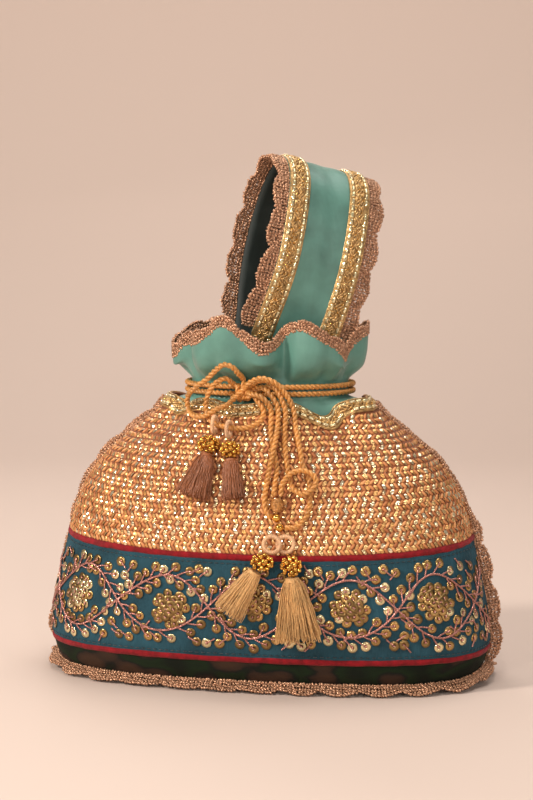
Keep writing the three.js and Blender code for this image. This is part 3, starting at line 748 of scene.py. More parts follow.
class POTLI_PG_colours(bpy.types.PropertyGroup):
    """Colours of the cloths and trimmings."""

    satin: tone("Satin", "Satin of the cuff and handle", linear(86, 132, 120))
    lining: tone("Lining", "Lining of the pouch and handle", linear(16, 30, 26))
    woven: tone("Woven cloth", "Ground of the woven metallic cloth", linear(180, 110, 60))
    band: tone("Band", "Cotton of the embroidered band", linear(38, 78, 92))
    base: tone("Base", "Ground of the base cloth", linear(15, 36, 9))
    piping: tone("Piping", "Folded piping", linear(146, 10, 24))
    lace: tone("Lace", "Crochet lace", linear(182, 138, 108))
    braid: tone("Braid", "Gold braid", linear(208, 168, 112))
    cord: tone("Cord", "Twisted drawstring", linear(208, 142, 66))
    bead: tone("Beads", "Gold beads", linear(226, 172, 78))
    brown: tone("Brown tassels", "Thread of the upper tassels", linear(150, 82, 30))
    pale: tone("Pale tassels", "Thread of the lower tassels", linear(216, 168, 106))


def sizes():
    return bpy.context.scene.potli_sizes


def colours():
    return bpy.context.scene.potli_colours


def shade(name):
    return tuple(getattr(colours(), name))


FINISHES = {}


def finish(name):
    """Each finish is made once and shared."""
    if name not in FINISHES:
        makers = {
            "woven": lambda: woven_ground(shade("woven")),
            "ribbon": lambda: ribbon("gold_ribbon", (linear(222, 164, 98), linear(248, 208, 146),
                                                     linear(255, 242, 206)), 0.24, 0.9),
            "strand": lambda: ribbon("tan_strand", (linear(166, 98, 54), linear(204, 132, 78),
                                                    linear(228, 162, 104)), 0.5, 0.2),
            "satin": lambda: satin("teal_satin", shade("satin")),
            "lining": lambda: satin("lining_silk", shade("lining"), 0.62),
            "band": lambda: cotton(shade("band")),
            "brocade": lambda: brocade(shade("base")),
            "piping": lambda: piping_cloth(shade("piping")),
            "lace": lambda: metal_thread("lace_thread", shade("lace"), 0.7, 0.36),
            "braid": lambda: metal_thread("braid_thread", shade("braid"), 0.75, 0.32, 420),
            "bar": lambda: polished("bar_bead", linear(244, 222, 176), 0.15, 0.8),
            "gold_sequin": lambda: polished("gold_sequin", linear(172, 138, 84), 0.26, 0.9, 0.5),
            "pale_sequin": lambda: polished("pale_sequin", linear(226, 208, 160), 0.2, 0.9, 0.3),
            "wire": lambda: metal_thread("vine_wire", linear(208, 148, 136), 0.8, 0.26, 1300),
            "stitch": lambda: cord_yarn("stitch_thread", tuple(c * 0.35 for c in shade("band"))),
            "cord": lambda: cord_yarn("drawstring_yarn", shade("cord")),
            "bead": lambda: polished("gold_bead", shade("bead"), 0.16, 1.0, 0.3),
            "brown": lambda: cord_yarn("brown_thread", shade("brown"), 2400),
            "pale": lambda: cord_yarn("pale_thread", shade("pale"), 2400),
            "wrap": lambda: cord_yarn("wrapped_satin", linear(232, 184, 140), 2000),
        }
        FINISHES[name] = makers[name]()
    return FINISHES[name]


# ---- stage -------------------------------------------------------------------------------------
class POTLI_OT_stage(bpy.types.Operator):
    """Make the camera, the floor with its sweep, and the studio lights"""

    bl_idname = "potli.stage"
    bl_label = "Stage"

    def execute(self, context):
        scene = context.scene
        turn, tilt = 11.5 * RAD, -5.5 * RAD
        aim = math.atan(3.5 / 1888)
        data = bpy.data.cameras.new("camera")
        data.lens, data.sensor_width = 85, 36
        camera = bpy.data.objects.new("camera", data)
        camera.location = (math.sin(turn) * 1.019, -math.cos(turn) * 1.019, 0.246)
        camera.rotation_euler = (math.pi / 2 + tilt, 0, turn + aim)
        scene.collection.objects.link(camera)
        scene.camera = camera

        bm = bmesh.new()
        bmesh.ops.create_grid(bm, x_segments=24, y_segments=60, size=2.5)
        for vert in bm.verts:
            reach = vert.co.y + 1.0
            bend = max(0.0, reach - 0.9)
            a = min(bend / 0.6, math.pi / 2)
            rise = max(0.0, bend - 0.6 * math.pi / 2)
            vert.co = Vector((vert.co.x, min(reach, 0.9) + 0.6 * math.sin(a), 0.6 * (1 - math.cos(a)) + rise))
        sweep = smooth_object("sweep", bm, stage_paper_with_painted_shade("sweep_paper", linear(228, 208, 196)))
        sweep.rotation_euler = (0, 0, turn)

        world = bpy.data.worlds.new("studio")
        scene.world = world
        world.use_nodes = True
        world.node_tree.nodes["Background"].inputs[0].default_value = (*linear(244, 234, 226), 1)
        world.node_tree.nodes["Background"].inputs[1].default_value = 0.27
        lamps = (
            ("key", (-1.0, -0.85, 0.85), 0.2, 17.0, (1.0, 0.92, 0.83)),
            ("fill", (1.0, -0.8, 0.5), 0.4, 1.8, (1.0, 0.95, 0.9)),
            ("glint_left", (-0.3, -1.35, 0.5), 0.05, 2.6, (1.0, 0.95, 0.88)),
            ("glint_right", (0.5, -1.3, 0.55), 0.05, 2.2, (1.0, 0.95, 0.88)),
            ("glint_top", (0.1, -0.9, 1.1), 0.05, 2.4, (1.0, 0.95, 0.88)),
            ("rim", (-0.4, 0.8, 0.9), 0.5, 3.0, (1.0, 0.96, 0.92)),
            ("backdrop", (0.3, 0.2, 1.5), 1.2, 12.0, (1.0, 0.95, 0.9)),
        )
        for name, place, size, power, color in lamps:
            lamp = bpy.data.lights.new(name, "AREA")
            lamp.size, lamp.energy, lamp.color = size, power, color
            obj = bpy.data.objects.new(name, lamp)
            obj.location = place
            obj.rotation_euler = (Vector((0, 0, 0.13)) - Vector(place)).to_track_quat("-Z", "Y").to_euler()
            scene.collection.objects.link(obj)
        scene.view_settings.view_transform = "Standard"
        return {"FINISHED"}


# ---- drawstring --------------------------------------------------------------------------------
def twisted_cord(name, points):
    """One run of the drawstring through these points."""
    path, length = curve_through(points, 0.8)
    cord = thread_piece(name, plies(path, sizes().cord / MM / 2, CORD_TWIST), finish("cord"), 2)
    finished(cord, "cord", name)
    [tuple(p * MM) for p in path]


class POTLI_OT_drawstring(bpy.types.Operator):
    """Make the two turns round the neck, the bow loops and the hanging tails"""

    bl_idname = "potli.drawstring"
    bl_label = "Drawstring"

    def execute(self, context):
        grow = CORD / 2 + 0.55 + 2.5 * GAP
        for k, (name, z) in enumerate((("upper", 157.7), ("lower", 154))):
            turns = [mix(-96 + k, 259 - k, i / 26) * RAD for i in range(27)]
            points = [((NECK_W + grow) * math.cos(a), (NECK_D + grow) * math.sin(a), z) for a in turns]
            twisted_cord("neck_cord_" + name, points)
        for name, points in RUNS.items():
            points = [in_front(*p) for p in points]
            points.insert(0, points[0].lerp(KNOT, 0.55))
            if name.startswith("bow"):
                points.append(points[-1].lerp(KNOT, 0.55))
            twisted_cord(name, points)
        return {"FINISHED"}


class POTLI_OT_knot(bpy.types.Operator):
    """Make the bow's knot, the thread whipping and the two cord beads"""

    bl_idname = "potli.knot"
    bl_label = "Knot and beads"

    def execute(self, context):
        # Each wrap's place along the knot, its tilt, and its reach in depth and height.
        wraps = ((-3.6, -0.35, 2.9, 3.6), (-0.9, -0.15, 3.3, 4.1), (1.9, 0.12, 3.2, 3.9), (4.0, 0.5, 2.7, 3.1))
        lines = []
        for shift, tilt, deep, high in wraps:
            path = []
            for i in range(45):
                a = 2 * math.pi * i / 44
                p = Vector((shift + 0.9 * math.sin(a), deep * math.cos(a), high * math.sin(a)))
                p.rotate(Matrix.Rotation(tilt, 3, "Y"))
                path.append(KNOT + p)
            lines += plies(path, 1.55, CORD_TWIST)
        cross = ((-6.6, -1.2, -3.6), (-4.4, -3.4, -2.4), (-1.2, -4.2, 0), (2.2, -3.9, 2.4), (5.2, -1.6, 3.4))
        path, _ = curve_through([KNOT + Vector(p) for p in cross], 0.6)
        lines += plies(path, 1.55, CORD_TWIST)
        finished(thread_piece("bow_knot", lines, finish("cord"), 1), "cord", "bow_knot")

        at = in_front(15.9, 99.8, 3.2)
        winding = []
        for i in range(260):
            t = i / 259
            a = 2 * math.pi * 8.5 * t
            z = mix(3.3, -3.3, t)
            bulge = math.sqrt(max(0.08, 1 - (z / 4.1) ** 2))
            winding.append((at.x + 2.7 * bulge * math.cos(a), at.y + 2.0 * bulge * math.sin(a), at.z + z, 0.42))
        rng = random.Random(7)
        lines = [winding]
        for _ in range(34):
            a = rng.uniform(0, 2 * math.pi)
            start = Vector((at.x + 2.6 * math.cos(a), at.y + 1.8 * math.sin(a), at.z + rng.uniform(-2, 3)))
            way = Vector((math.cos(a), 0.5 * math.sin(a) - 0.3, rng.uniform(-0.4, 1.0))).normalized()
            lines.append([(*(start + way * (j * 0.75) + Vector((0, 0, -0.12 * j * j)) * rng.uniform(0.3, 1)), 0.13)
                          for j in range(5)])
        lines.append([(at.x, at.y, at.z + z, 1.7 * math.sqrt(max(0.05, 1 - (z / 4.0) ** 2)))
                      for z in np.linspace(-3.6, 3.6, 9)])
        finished(thread_piece("tail_whipping", lines, finish("cord"), 1), "cord", "tail_whipping")

        for name, x, z in (("cord_bead_upper", 15.9, 93.5), ("cord_bead_lower", 17.6, 88.7)):
            outline = [(max(0.55, 2.3 * math.cos(t)), 2.2 * math.sin(t)) for t in np.linspace(-1.32, 1.32, 11)]
            place = Matrix.Translation(in_front(x, z, 3.2)) @ Matrix.Rotation(0.5, 4, "Y")
            finished(repeated(name, spun(outline, 20), [place], [finish("bead")]), "beads", name)
        return {"FINISHED"}


# ---- tassels -----------------------------------------------------------------------------------
# loop: x, z, out, radius, turn; cap: x, z, out, half sizes; skirt: top, foot, outs, widths, thickness
TASSELS = [
    ((-19.8, 139.3, 5.6, 3.9, math.pi / 2 - 0.1), (-22, 129.4, 5.8, 5.8, 4.2, 4.4),
     ((-22.4, 124.6), (-28.4, 104), 5.4, 5.6, 7, 19, 8), "brown"),
    ((-11.6, 137.2, 5.6, 3.9, math.pi / 2 - 0.1), (-10.2, 127.2, 5.6, 5.4, 4.2, 4.4),
     ((-9.6, 122.3), (-6.6, 103.6), 5.4, 5.6, 7, 12.5, 8), "brown"),
    ((14.6, 80.6, 5.6, 4.2, 0.1), (9.8, 71.4, 6, 6, 4.2, 4.4),
     ((6.4, 66.6), (-7.4, 45.4), 5.8, 6, 8, 16.5, 8), "pale"),
    ((21.2, 80.4, 3.4, 4.2, 0.1), (24.8, 69.8, 6, 5.4, 4.4, 5.2),
     ((25.4, 64), (28.6, 32.4), 5.8, 6, 8, 24, 9), "pale"),
]


class POTLI_OT_tassels(bpy.types.Operator):
    """Make the four tassels: wrapped loop, cap of small beads and thread skirt"""

    bl_idname = "potli.tassels"
    bl_label = "Tassels"

    def loop(self, k, x, z, out, radius, turn):
        centre = in_front(x, z, out)
        side = Vector((math.cos(turn), math.sin(turn), 0))
        across = side.cross(Vector((0, 0, 1)))
        ring, wrap = [], []
        sides = 8
        for i in range(36 * sides + 1):
            a = 2 * math.pi * i / (36 * sides)
            spoke = side * math.cos(a) + Vector((0, 0, 1)) * math.sin(a)
            b = 2 * math.pi * i / sides
            wrap.append((*(centre + spoke * (radius + 0.85 * math.cos(b)) + across * 0.85 * math.sin(b)), 0.34))
            if i % sides == 0:
                ring.append((*(centre + spoke * radius), 0.8))
        obj = thread_piece(f"tassel_loop_{k}", [ring, wrap], finish("wrap"), 1)
        finished(obj, "satin_wrap", f"tassel_loop_{k}")

    def cap(self, k, x, z, out, sx, sy, sz):
        centre = in_front(x, z, out)
        size = sizes().bead / MM / 2
        rng = random.Random(20 + k)
        places = []
        n = 30
        for i in range(n):
            h = 1 - 2 * (i + 0.5) / n
            a = i * 2.39996 + rng.uniform(-0.2, 0.2)
            r = math.sqrt(1 - h * h)
            reach = rng.uniform(0.95, 1.05)
            p = centre + Vector((reach * (sx - size * 0.55) * r * math.cos(a), (sy - size * 0.4) * r * math.sin(a),
                                 reach * (sz - size * 0.5) * h))
            b = size * rng.uniform(0.9, 1.0)
            places.append(set_on(p, Vector((0, 0, 1)), Vector((0, -1, 0.1)), b, b, b * 0.94, rng.uniform(0, 3)))
        core = Matrix.Diagonal((sx - 1.9 * size, sy - 1.7 * size, sz - 1.8 * size, 1))
        places.append(Matrix.Translation(centre) @ core)
        beads = repeated(f"tassel_cap_{k}", ball(14, 10), places, [finish("bead")], seed=k)
        finished(beads, "beads", f"tassel_cap_{k}")

    def skirt(self, k, top, foot, out_top, out_foot, w_top, w_foot, thick, colour):
        a, b = in_front(*top, out_top), in_front(*foot, out_foot)
        axis = b - a
        across = Vector((axis.z, 0, -axis.x)).normalized()
        deep = axis.normalized().cross(across).normalized()
        rng = random.Random(40 + k)
        lines = []
        for i in range(sizes().threads):
            ang, r = rng.uniform(0, 2 * math.pi), math.sqrt(rng.random())
            bow, sway, cut = rng.uniform(0.7, 1.3), rng.uniform(-0.7, 0.7), rng.uniform(0.92, 1.07)
            phase, fine = rng.uniform(0, 6), rng.uniform(0.05, 0.22)
            line = []
            for j in range(11):
                t = j / 10 * cut
                spread = t ** (0.75 * bow)
                w = mix(w_top * 0.8, w_foot * 1.04, spread) / 2 - 0.2
                d = mix(w_top * 0.7, thick, spread) / 2 - 0.2
                shake = sway * t * math.sin(3 * t + phase) + 1.6 * fine * math.sin(17 * t + phase)
                p = a + axis * t + across * (w * r * math.cos(ang) + shake)
                p += deep * (d * r * math.sin(ang) + 0.4 * shake)
                line.append((*p, mix(0.26, 0.2, t)))
            lines.append(line)
        for turn in range(5):
            ring = []
            for i in range(17):
                q = 2 * math.pi * i / 16
                p = a + axis * (0.01 + 0.012 * turn) + across * (w_top * 0.42 * math.cos(q))
                ring.append((*(p + deep * (w_top * 0.36 * math.sin(q))), 0.3))
            lines.append(ring)
        obj = thread_piece(f"tassel_skirt_{k}", lines, finish(colour), 0)
        finished(obj, "tassel_" + colour, f"tassel_skirt_{k}")

    def execute(self, context):
        for k, (loop, cap, skirt, colour) in enumerate(TASSELS, 1):
            self.loop(k, *loop)
            self.cap(k, *cap)
            self.skirt(k, *skirt, colour)
        return {"FINISHED"}


# ---- cloth of the bag --------------------------------------------------------------------------
HALVES = (("front", -180, 0), ("back", 0, 180))
SEAM = 0.25


def half_angle(start, end, u, z):
    cut = SEAM / HALF_DEPTH(z)
    return mix(start * RAD + cut, end * RAD - cut, u)


def half_sheet(name, start, end, low, high, out, across, up, material, thick, fine=0.0, scale=(300, 80), bulge=None):
    """A strip of cloth between two heights on one half of the bag."""
    def place(u, v):
        rough = mix(start, end, u) * RAD
        z = mix(low(rough), high(rough), v)
        a = half_angle(start, end, u, z)
        lift = out + (bulge(v) if bulge else 0)
        return off(lambda p, q: bag_at(p, q, fine), a, z, lift)
    return cloth_piece(name, place, across, up, material, thick, scale=scale)


def along_half(start, z):
    """Distances along one half of the bag at this height, and the angle in degrees at each."""
    degs = np.arange(361) * 0.5 + start
    return run_along([bag_at((start + i * 0.5) * RAD, z) for i in range(361)]), degs


class POTLI_OT_woven(bpy.types.Operator):
    """Make the woven upper panels and their rows of metallic flecks"""

    bl_idname = "potli.woven"
    bl_label = "Woven panels"

    def execute(self, context):
        row = sizes().row / MM
        for side, start, end in HALVES:
            name = "woven_panel_" + side
            panel = half_sheet(name, start, end, upper_trim_z, edge_z, 0, 220, 56, finish("woven"), 0.9,
                               1.0, (290, 76))
            finished(panel, "woven_cloth", name)
            ribbons, strands = [], []
            rng = random.Random(3 if side == "front" else 4)

            def surface(p, q):
                return bag_at(p, q, 1.0)
            for j in range(int(76 / row) + 6):
                z0 = UPPER_TRIM_Z + 0.4 + j * row
                run, degs = along_half(start, min(z0, 150))
                count = int(run[-1] / FLECK_PITCH)
                for i in range(count):
                    for half, list_ in ((0, ribbons), (1, strands)):
                        s = (i + (0.5 if j % 2 else 0.0) + 0.25 + half * 0.5) * run[-1] / count
                        deg = float(np.interp(s, run, degs))
                        a = deg * RAD
                        sag = TRIM_SAG * abs(math.sin(a)) ** 1.5 * (1 - smooth(z0, 90, 140))
                        z = z0 - sag + rng.uniform(-0.15, 0.15)
                        on_cloth = upper_trim_z(a) + 2.2 <= z <= edge_z(a) - BRAID_WIDE + 0.3
                        if not (on_cloth and start + 0.6 < deg < end - 0.6):
                            continue
                        p, n = surface(a, z), normal_at(surface, a, z)
                        slant = (0.6 if j % 2 else -0.6) + rng.uniform(-0.14, 0.14)
                        up = Vector((0, 0, 1)) - n * n.z
                        if half:
                            list_.append(set_on(p + n * 0.05, up, n, 0.92, 2.3, 0.6, slant * 1.25))
                        else:
                            list_.append(set_on(p + n * 0.3, up, n, 0.92, 1.5 * rng.uniform(0.85, 1.1), 0.6, slant,
                                                rng.uniform(-0.4, 0.4)))
            for name, shape, places, look, seed in (
                    ("woven_ribbons_", fleck(), ribbons, "ribbon", 200),
                    ("woven_strands_", ball(6, 5), strands, "strand", 210)):
                finished(repeated(name + side, shape, places, [finish(look)], seed=start + seed), "woven_cloth")
        return {"FINISHED"}


def round_edge(v):
    return 0.95 * math.sin(math.pi * min(max(v, 0.0), 1.0)) ** 0.6 - 0.15


class POTLI_OT_piping(bpy.types.Operator):
    """Make the red piping above and below the band"""

    bl_idname = "potli.piping"
    bl_label = "Piping"

    def execute(self, context):
        half = TRIM_HIGH / 2
        for side, start, end in HALVES:
            for name, middle in (("lower_trim_", lambda a: LOWER_TRIM_Z), ("upper_trim_", upper_trim_z)):
                strip = half_sheet(
                    name + side, start, end, lambda a, m=middle: m(a) - half + 0.12 * math.sin(a * 41),
                    lambda a, m=middle: m(a) + half + 0.12 * math.sin(a * 33), 0, 200, 8, finish("piping"), 0.7,
                    bulge=round_edge)
                finished(strip, "piping", name + side)
        return {"FINISHED"}


class POTLI_OT_base(bpy.types.Operator):
    """Make the brocade strips above the base and finish the base panel"""

    bl_idname = "potli.base"
    bl_label = "Base"

    def execute(self, context):
        for side, start, end in HALVES:
            name = "base_wall_" + side
            wall = half_sheet(name, start, end, lambda a: 0.25, lambda a: LOWER_TRIM_Z, 0, 160, 12,
                              finish("brocade"), 0.9, 0.8)
            finished(wall, "base_cloth", name)
        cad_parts["base_panel"].data.materials.clear()
        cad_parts["base_panel"].data.materials.append(finish("brocade"))
        return {"FINISHED"}


class POTLI_OT_lining(bpy.types.Operator):
    """Make the lining pouch with its gathered neck"""

    bl_idname = "potli.lining"
    bl_label = "Lining"

    def execute(self, context):
        def place(u, v):
            a = u * 2 * math.pi
            if v < 0.75:
                z = mix(2.4, 129, v / 0.75)
                return off(bag_at, a, z, -2.6 - 2 * smooth(z, 110, 129))
            t = (v - 0.75) / 0.25
            side = off(bag_at, a, 129, -4.6)
            if t < 0.4:
                end = oval(a, 151, 40.2, 26.4, 2, 0)
                return side.lerp(end, t / 0.4)
            r = 1 - (t - 0.4) / 0.6 * 0.985
            fold = 1.6 * math.sin(14 * a + 2 * r) * math.sin(math.pi * min(1, r)) + 1.2 * math.sin(5 * a)
            z = 151 + 3.5 * math.sin(math.pi * r) + fold * (1 - r) ** 0.5
            return Vector((40.2 * r * math.cos(a), 26.4 * r * math.sin(a), z))
        pouch = cloth_piece("lining_pouch_cloth", place, 180, 90, finish("lining"), 0.0, True, (700, 200))
        finished(pouch, "lining", "lining_pouch")
        return {"FINISHED"}


# ---- embroidery --------------------------------------------------------------------------------
class POTLI_OT_band(bpy.types.Operator):
    """Make the cotton bands with their sequins, vines and stitches"""

    bl_idname = "potli.band"
    bl_label = "Embroidered band"

    def execute(self, context):
        for side, start, end in HALVES:
            name = "band_" + side
            band = half_sheet(name, start, end, lambda a: LOWER_TRIM_Z, upper_trim_z, 0, 260, 26, finish("band"),
                              0.9, 0.6, (300, 56))
            finished(band, "band_cloth", name)
            run, degs = along_half(start, 48)
            middle = run[-1] / 2

            def on_band(s, z, lift):
                a = float(np.interp(middle + s, run, degs)) * RAD
                surface = lambda p, q: bag_at(p, q, 0.6)
                return surface(a, z) + normal_at(surface, a, z) * lift, normal_at(surface, a, z)

            rng = random.Random(11 if side == "front" else 12)
            discs, wires = self.design(rng, middle)
            places, kinds, knots = [], [], []
            for s, z, size, kind, lift in discs:
                p, n = on_band(s, z, 0.25 + lift)
                up = on_band(s, z + 1, 0.25 + lift)[0] - p
                places.append(set_on(p, up, n, size, size, size, rng.uniform(0, 6.28), rng.uniform(-0.16, 0.16)))
                kinds.append(kind)
                knots.append(set_on(p + n * 0.35, up, n, 0.42, 1.0, 0.4, rng.uniform(0, 6.28)))
            looks = [finish("gold_sequin"), finish("pale_sequin")]
            finished(repeated("sequins_" + side, sequin(), places, looks, kinds, start + 220), "beads")
            lines = []
            for wire, thick in wires:
                path = [on_band(s, z, thick)[0] for s, z in wire]
                if len(path) > 2:
                    lines += plies(path, thick, 2.4, 2, rng.uniform(0, 6))
            vines = thread_piece("vines_" + side, lines, finish("wire"), 0)
            finished(vines, "band_cloth")
            finished(repeated("sequin_stitches_" + side, ball(6, 4), knots, [finish("wire")], seed=5), "band_cloth")
            stitches = []
            for k in range(int(run[-1] / 3.2)):
                s = -middle + 2 + k * 3.2
                a = float(np.interp(middle + s, run, degs)) * RAD
                for z in (upper_trim_z(a) - 3.4, LOWER_TRIM_Z + 3.2):
                    p, _ = on_band(s, z, 0.2)
                    q, _ = on_band(s + 1.9, z, 0.2)
                    middle_point = p.lerp(q, 0.5) + (p - Vector((0, 0, p.z))).normalized() * 0.12
                    stitches.append([(*p, 0.22), (*middle_point, 0.26), (*q, 0.22)])
            finished(thread_piece("band_stitches_" + side, stitches, finish("stitch")), "band_cloth")
        return {"FINISHED"}

    def design(self, rng, middle):
        """Flowers of overlapping sequins, with vines of twisted wire that end in single sequins."""
        size = sizes().sequin / MM / 2
        discs, wires = [], []
        taken = []

        def free(s, z, gap):
            low, high = LOWER_TRIM_Z + 6, UPPER_TRIM_Z - TRIM_SAG * math.cos(s / middle * 1.4) ** 2 - 6.5
            if not (low < z < high and abs(s) < middle - 5):
                return False
            return all((s - a) ** 2 + (z - b) ** 2 > gap * gap for a, b in taken)

        for s, z in FLOWERS:
            for ring, count, reach, lift in ((0, 11, 8.2, 0.0), (1, 8, 5.0, 0.5), (2, 4, 2.0, 1.0)):
                for k in range(count):
                    a = 2 * math.pi * (k + 0.5 * ring) / count + rng.uniform(-0.15, 0.15)
                    pale = rng.random() < (0.5 if s < -80 else 0.16)
                    discs.append((s + reach * math.cos(a), z + reach * math.sin(a), size, int(pale), lift))
            taken += [(s + t * math.cos(a), z + t * math.sin(a)) for a in np.arange(0, 6, 0.5) for t in (0, 5, 9)]

        def branch(s, z, heading, long, bend):
            line = [(s + 0.01 * bend, z)]
            for _ in range(int(long / 0.5)):
                heading += bend * 0.05
                s, z = s + 0.5 * math.cos(heading), z + 0.5 * math.sin(heading)
                line.append((s, z))
            tip = (s + size * 0.25 * math.cos(heading), z + size * 0.25 * math.sin(heading))
            if free(*tip, size * 1.86):
                taken.append(tip)
                discs.append((*tip, size * rng.uniform(0.94, 1.05), int(rng.random() < 0.22), 0.0))
                wires.append((line, 0.56))

        first, pitch = FLOWERS[2][0], 49
        for way in (1, -1):
            vine = []
            for s in np.arange(-middle + 4, middle - 4, 0.5):
                z = 46.8 + way * 15.5 * math.cos(math.pi * (s - first) / pitch) + 1.2 * math.sin(s * 0.13 + way)
                vine.append((float(s), float(z)))
            wires.append((vine, 0.74))
            for k in range(6, len(vine) - 6, 5):
                (s0, z0), (s1, z1) = vine[k - 1], vine[k + 1]
                heading = math.atan2(z1 - z0, s1 - s0)
                side = 1 if (k // 5) % 2 else -1
                for turn, long in ((0.85, rng.uniform(5.5, 8)), (0.75, rng.uniform(3.5, 4.5))):
                    branch(*vine[k], heading + side * turn, long, -side * rng.uniform(0.2, 0.8))
        for s in np.arange(-middle + 7, middle - 7, 3.1):
            for z in (28, 34, 40, 47, 54, 60, 65.5):
                s1, z1 = float(s) + rng.uniform(-1, 1), z + rng.uniform(-1, 1)
                heading = rng.choice((0.8, 2.3, -0.8, -2.4)) + rng.uniform(-0.3, 0.3)
                branch(s1 - 4.5 * math.cos(heading), z1 - 4.5 * math.sin(heading), heading, 4.5,
                       rng.uniform(-0.6, 0.6))
        return discs, wires


# ---- cuff, handle, lace and braid --------------------------------------------------------------
class POTLI_OT_cuff(bpy.types.Operator):
    """Make the satin cuff that frills out above the drawstring"""

    bl_idname = "potli.cuff"
    bl_label = "Cuff"

    def execute(self, context):
        cuff = cloth_piece("cuff", lambda u, v: off(cuff_at, u * 2 * math.pi, 0.02 + v * 0.99, 0.5, 0.01),
                           420, 48, finish("satin"), 0.8, True, (300, 60), 8)
        finished(cuff, "satin", "cuff")
        return {"FINISHED"}


class POTLI_OT_handle(bpy.types.Operator):
    """Make the wrist handle: satin outside and dark lining inside"""

    bl_idname = "potli.handle"
    bl_label = "Handle"

    def execute(self, context):
        def wrinkle(u, w):
            return 0.25 * math.sin(u * 60 + w * 0.2) * math.sin(u * 23 + 1) + 0.2 * math.sin(w * 0.5 + u * 9)

        def outside(u, v):
            return handle_at(u, mix(-STRAP_HALF, STRAP_HALF, v), 0.75 + wrinkle(u, mix(-22, 22, v)))

        def inside(u, v):
            return handle_at(u, mix(STRAP_HALF, -STRAP_HALF, v), -1.0 - wrinkle(u, v * 30))
        strap = cloth_piece("handle_satin", outside, 240, 20, finish("satin"), 0.5, scale=(HANDLE_LONG, 44))
        finished(strap, "satin", "handle_satin")
        inner = cloth_piece("handle_lining", inside, 240, 12, finish("lining"), 0.7, scale=(HANDLE_LONG, 44))
        finished(inner, "lining", "handle_lining")
        return {"FINISHED"}


def scallop(s, pitch=SCALLOP):
    return abs(math.sin(math.pi * s / pitch))


def lace_piece(name, place, long, wide, node, pitch=SCALLOP, faces=(1, -1)):
    """Crochet lace: place(s, w, h) is a point s along the seam, w out from it and h off its face."""
    rng = random.Random(len(name) + int(long))
    drift = [rng.uniform(-0.6, 0.6) for _ in range(int(long / 4) + 3)]

    def reach(s):
        i = min(int(s / 4), len(drift) - 2)
        wander = mix(drift[i], drift[i + 1], s / 4 - i) if s < long - 4 else 0
        return wide * (0.6 + 0.4 * scallop(s, pitch) ** 0.7) + wander * min(1, (long - s) / 8, s / 8)
    lines = []
    ss = np.linspace(0, long, int(long / 0.9) + 1)
    for share, turn, thick in ((None, 3.0, 0.85), (0.62, 3.4, 0.75), (0.98, 2.8, 0.85)):
        path = []
        for s in ss:
            w = 0.9 if share is None else reach(s) * share + 0.45 * math.sin(s * 2.6)
            path.append(place(s, w, 0.2 * math.sin(s * 1.9)))
        lines += plies(path, thick, turn)
    s = 0.8
    while s < long - 0.8:
        lean = 0.9 * math.cos(math.pi * (s % pitch) / pitch)
        for face in faces:
            lines.append([
                (*place(s - lean * t * 0.8, 0.4 + (reach(s) - 0.6) * t, face * (0.25 + 0.3 * math.sin(math.pi * t))),
                 0.42 + 0.14 * math.sin(9 * t + s)) for t in np.linspace(0, 1, 6)])
        s += rng.uniform(1.3, 1.8)
    finished(thread_piece(name, lines, finish("lace"), 0), "lace", node)
    places = []
    s = 0.6
    while s < long - 0.6:
        deep = reach(s)
        rows = max(2, round(deep / 1.7))
        for j in range(rows + 1):
            w = 0.3 + (deep + 0.2) * j / rows + rng.uniform(-0.25, 0.25)
            for face in faces:
                x = s + rng.uniform(-0.4, 0.4)
                p = Vector(place(x, w, face * 0.45))
                along = Vector(place(x + 0.5, w + rng.uniform(-0.5, 0.5), face * 0.45)) - p
                out = (Vector(place(x, w, face * 0.95)) - p) * rng.uniform(0.6, 1)
                places.append(set_on(p, along, out, rng.uniform(0.5, 0.85), rng.uniform(0.8, 1.3),
                                     rng.uniform(0.45, 0.8), rng.uniform(-1.2, 1.2), rng.uniform(-0.5, 0.5)))
        s += 1.6
    finished(repeated(name + "_stitches", ball(6, 4), places, [finish("lace")], seed=int(long)), "lace")


def around(at):
    """Distances round a closed edge, and the angle in degrees at each."""
    degs = np.arange(0, 360.01, 1.0)
    return run_along([at(d * RAD) for d in degs]), degs


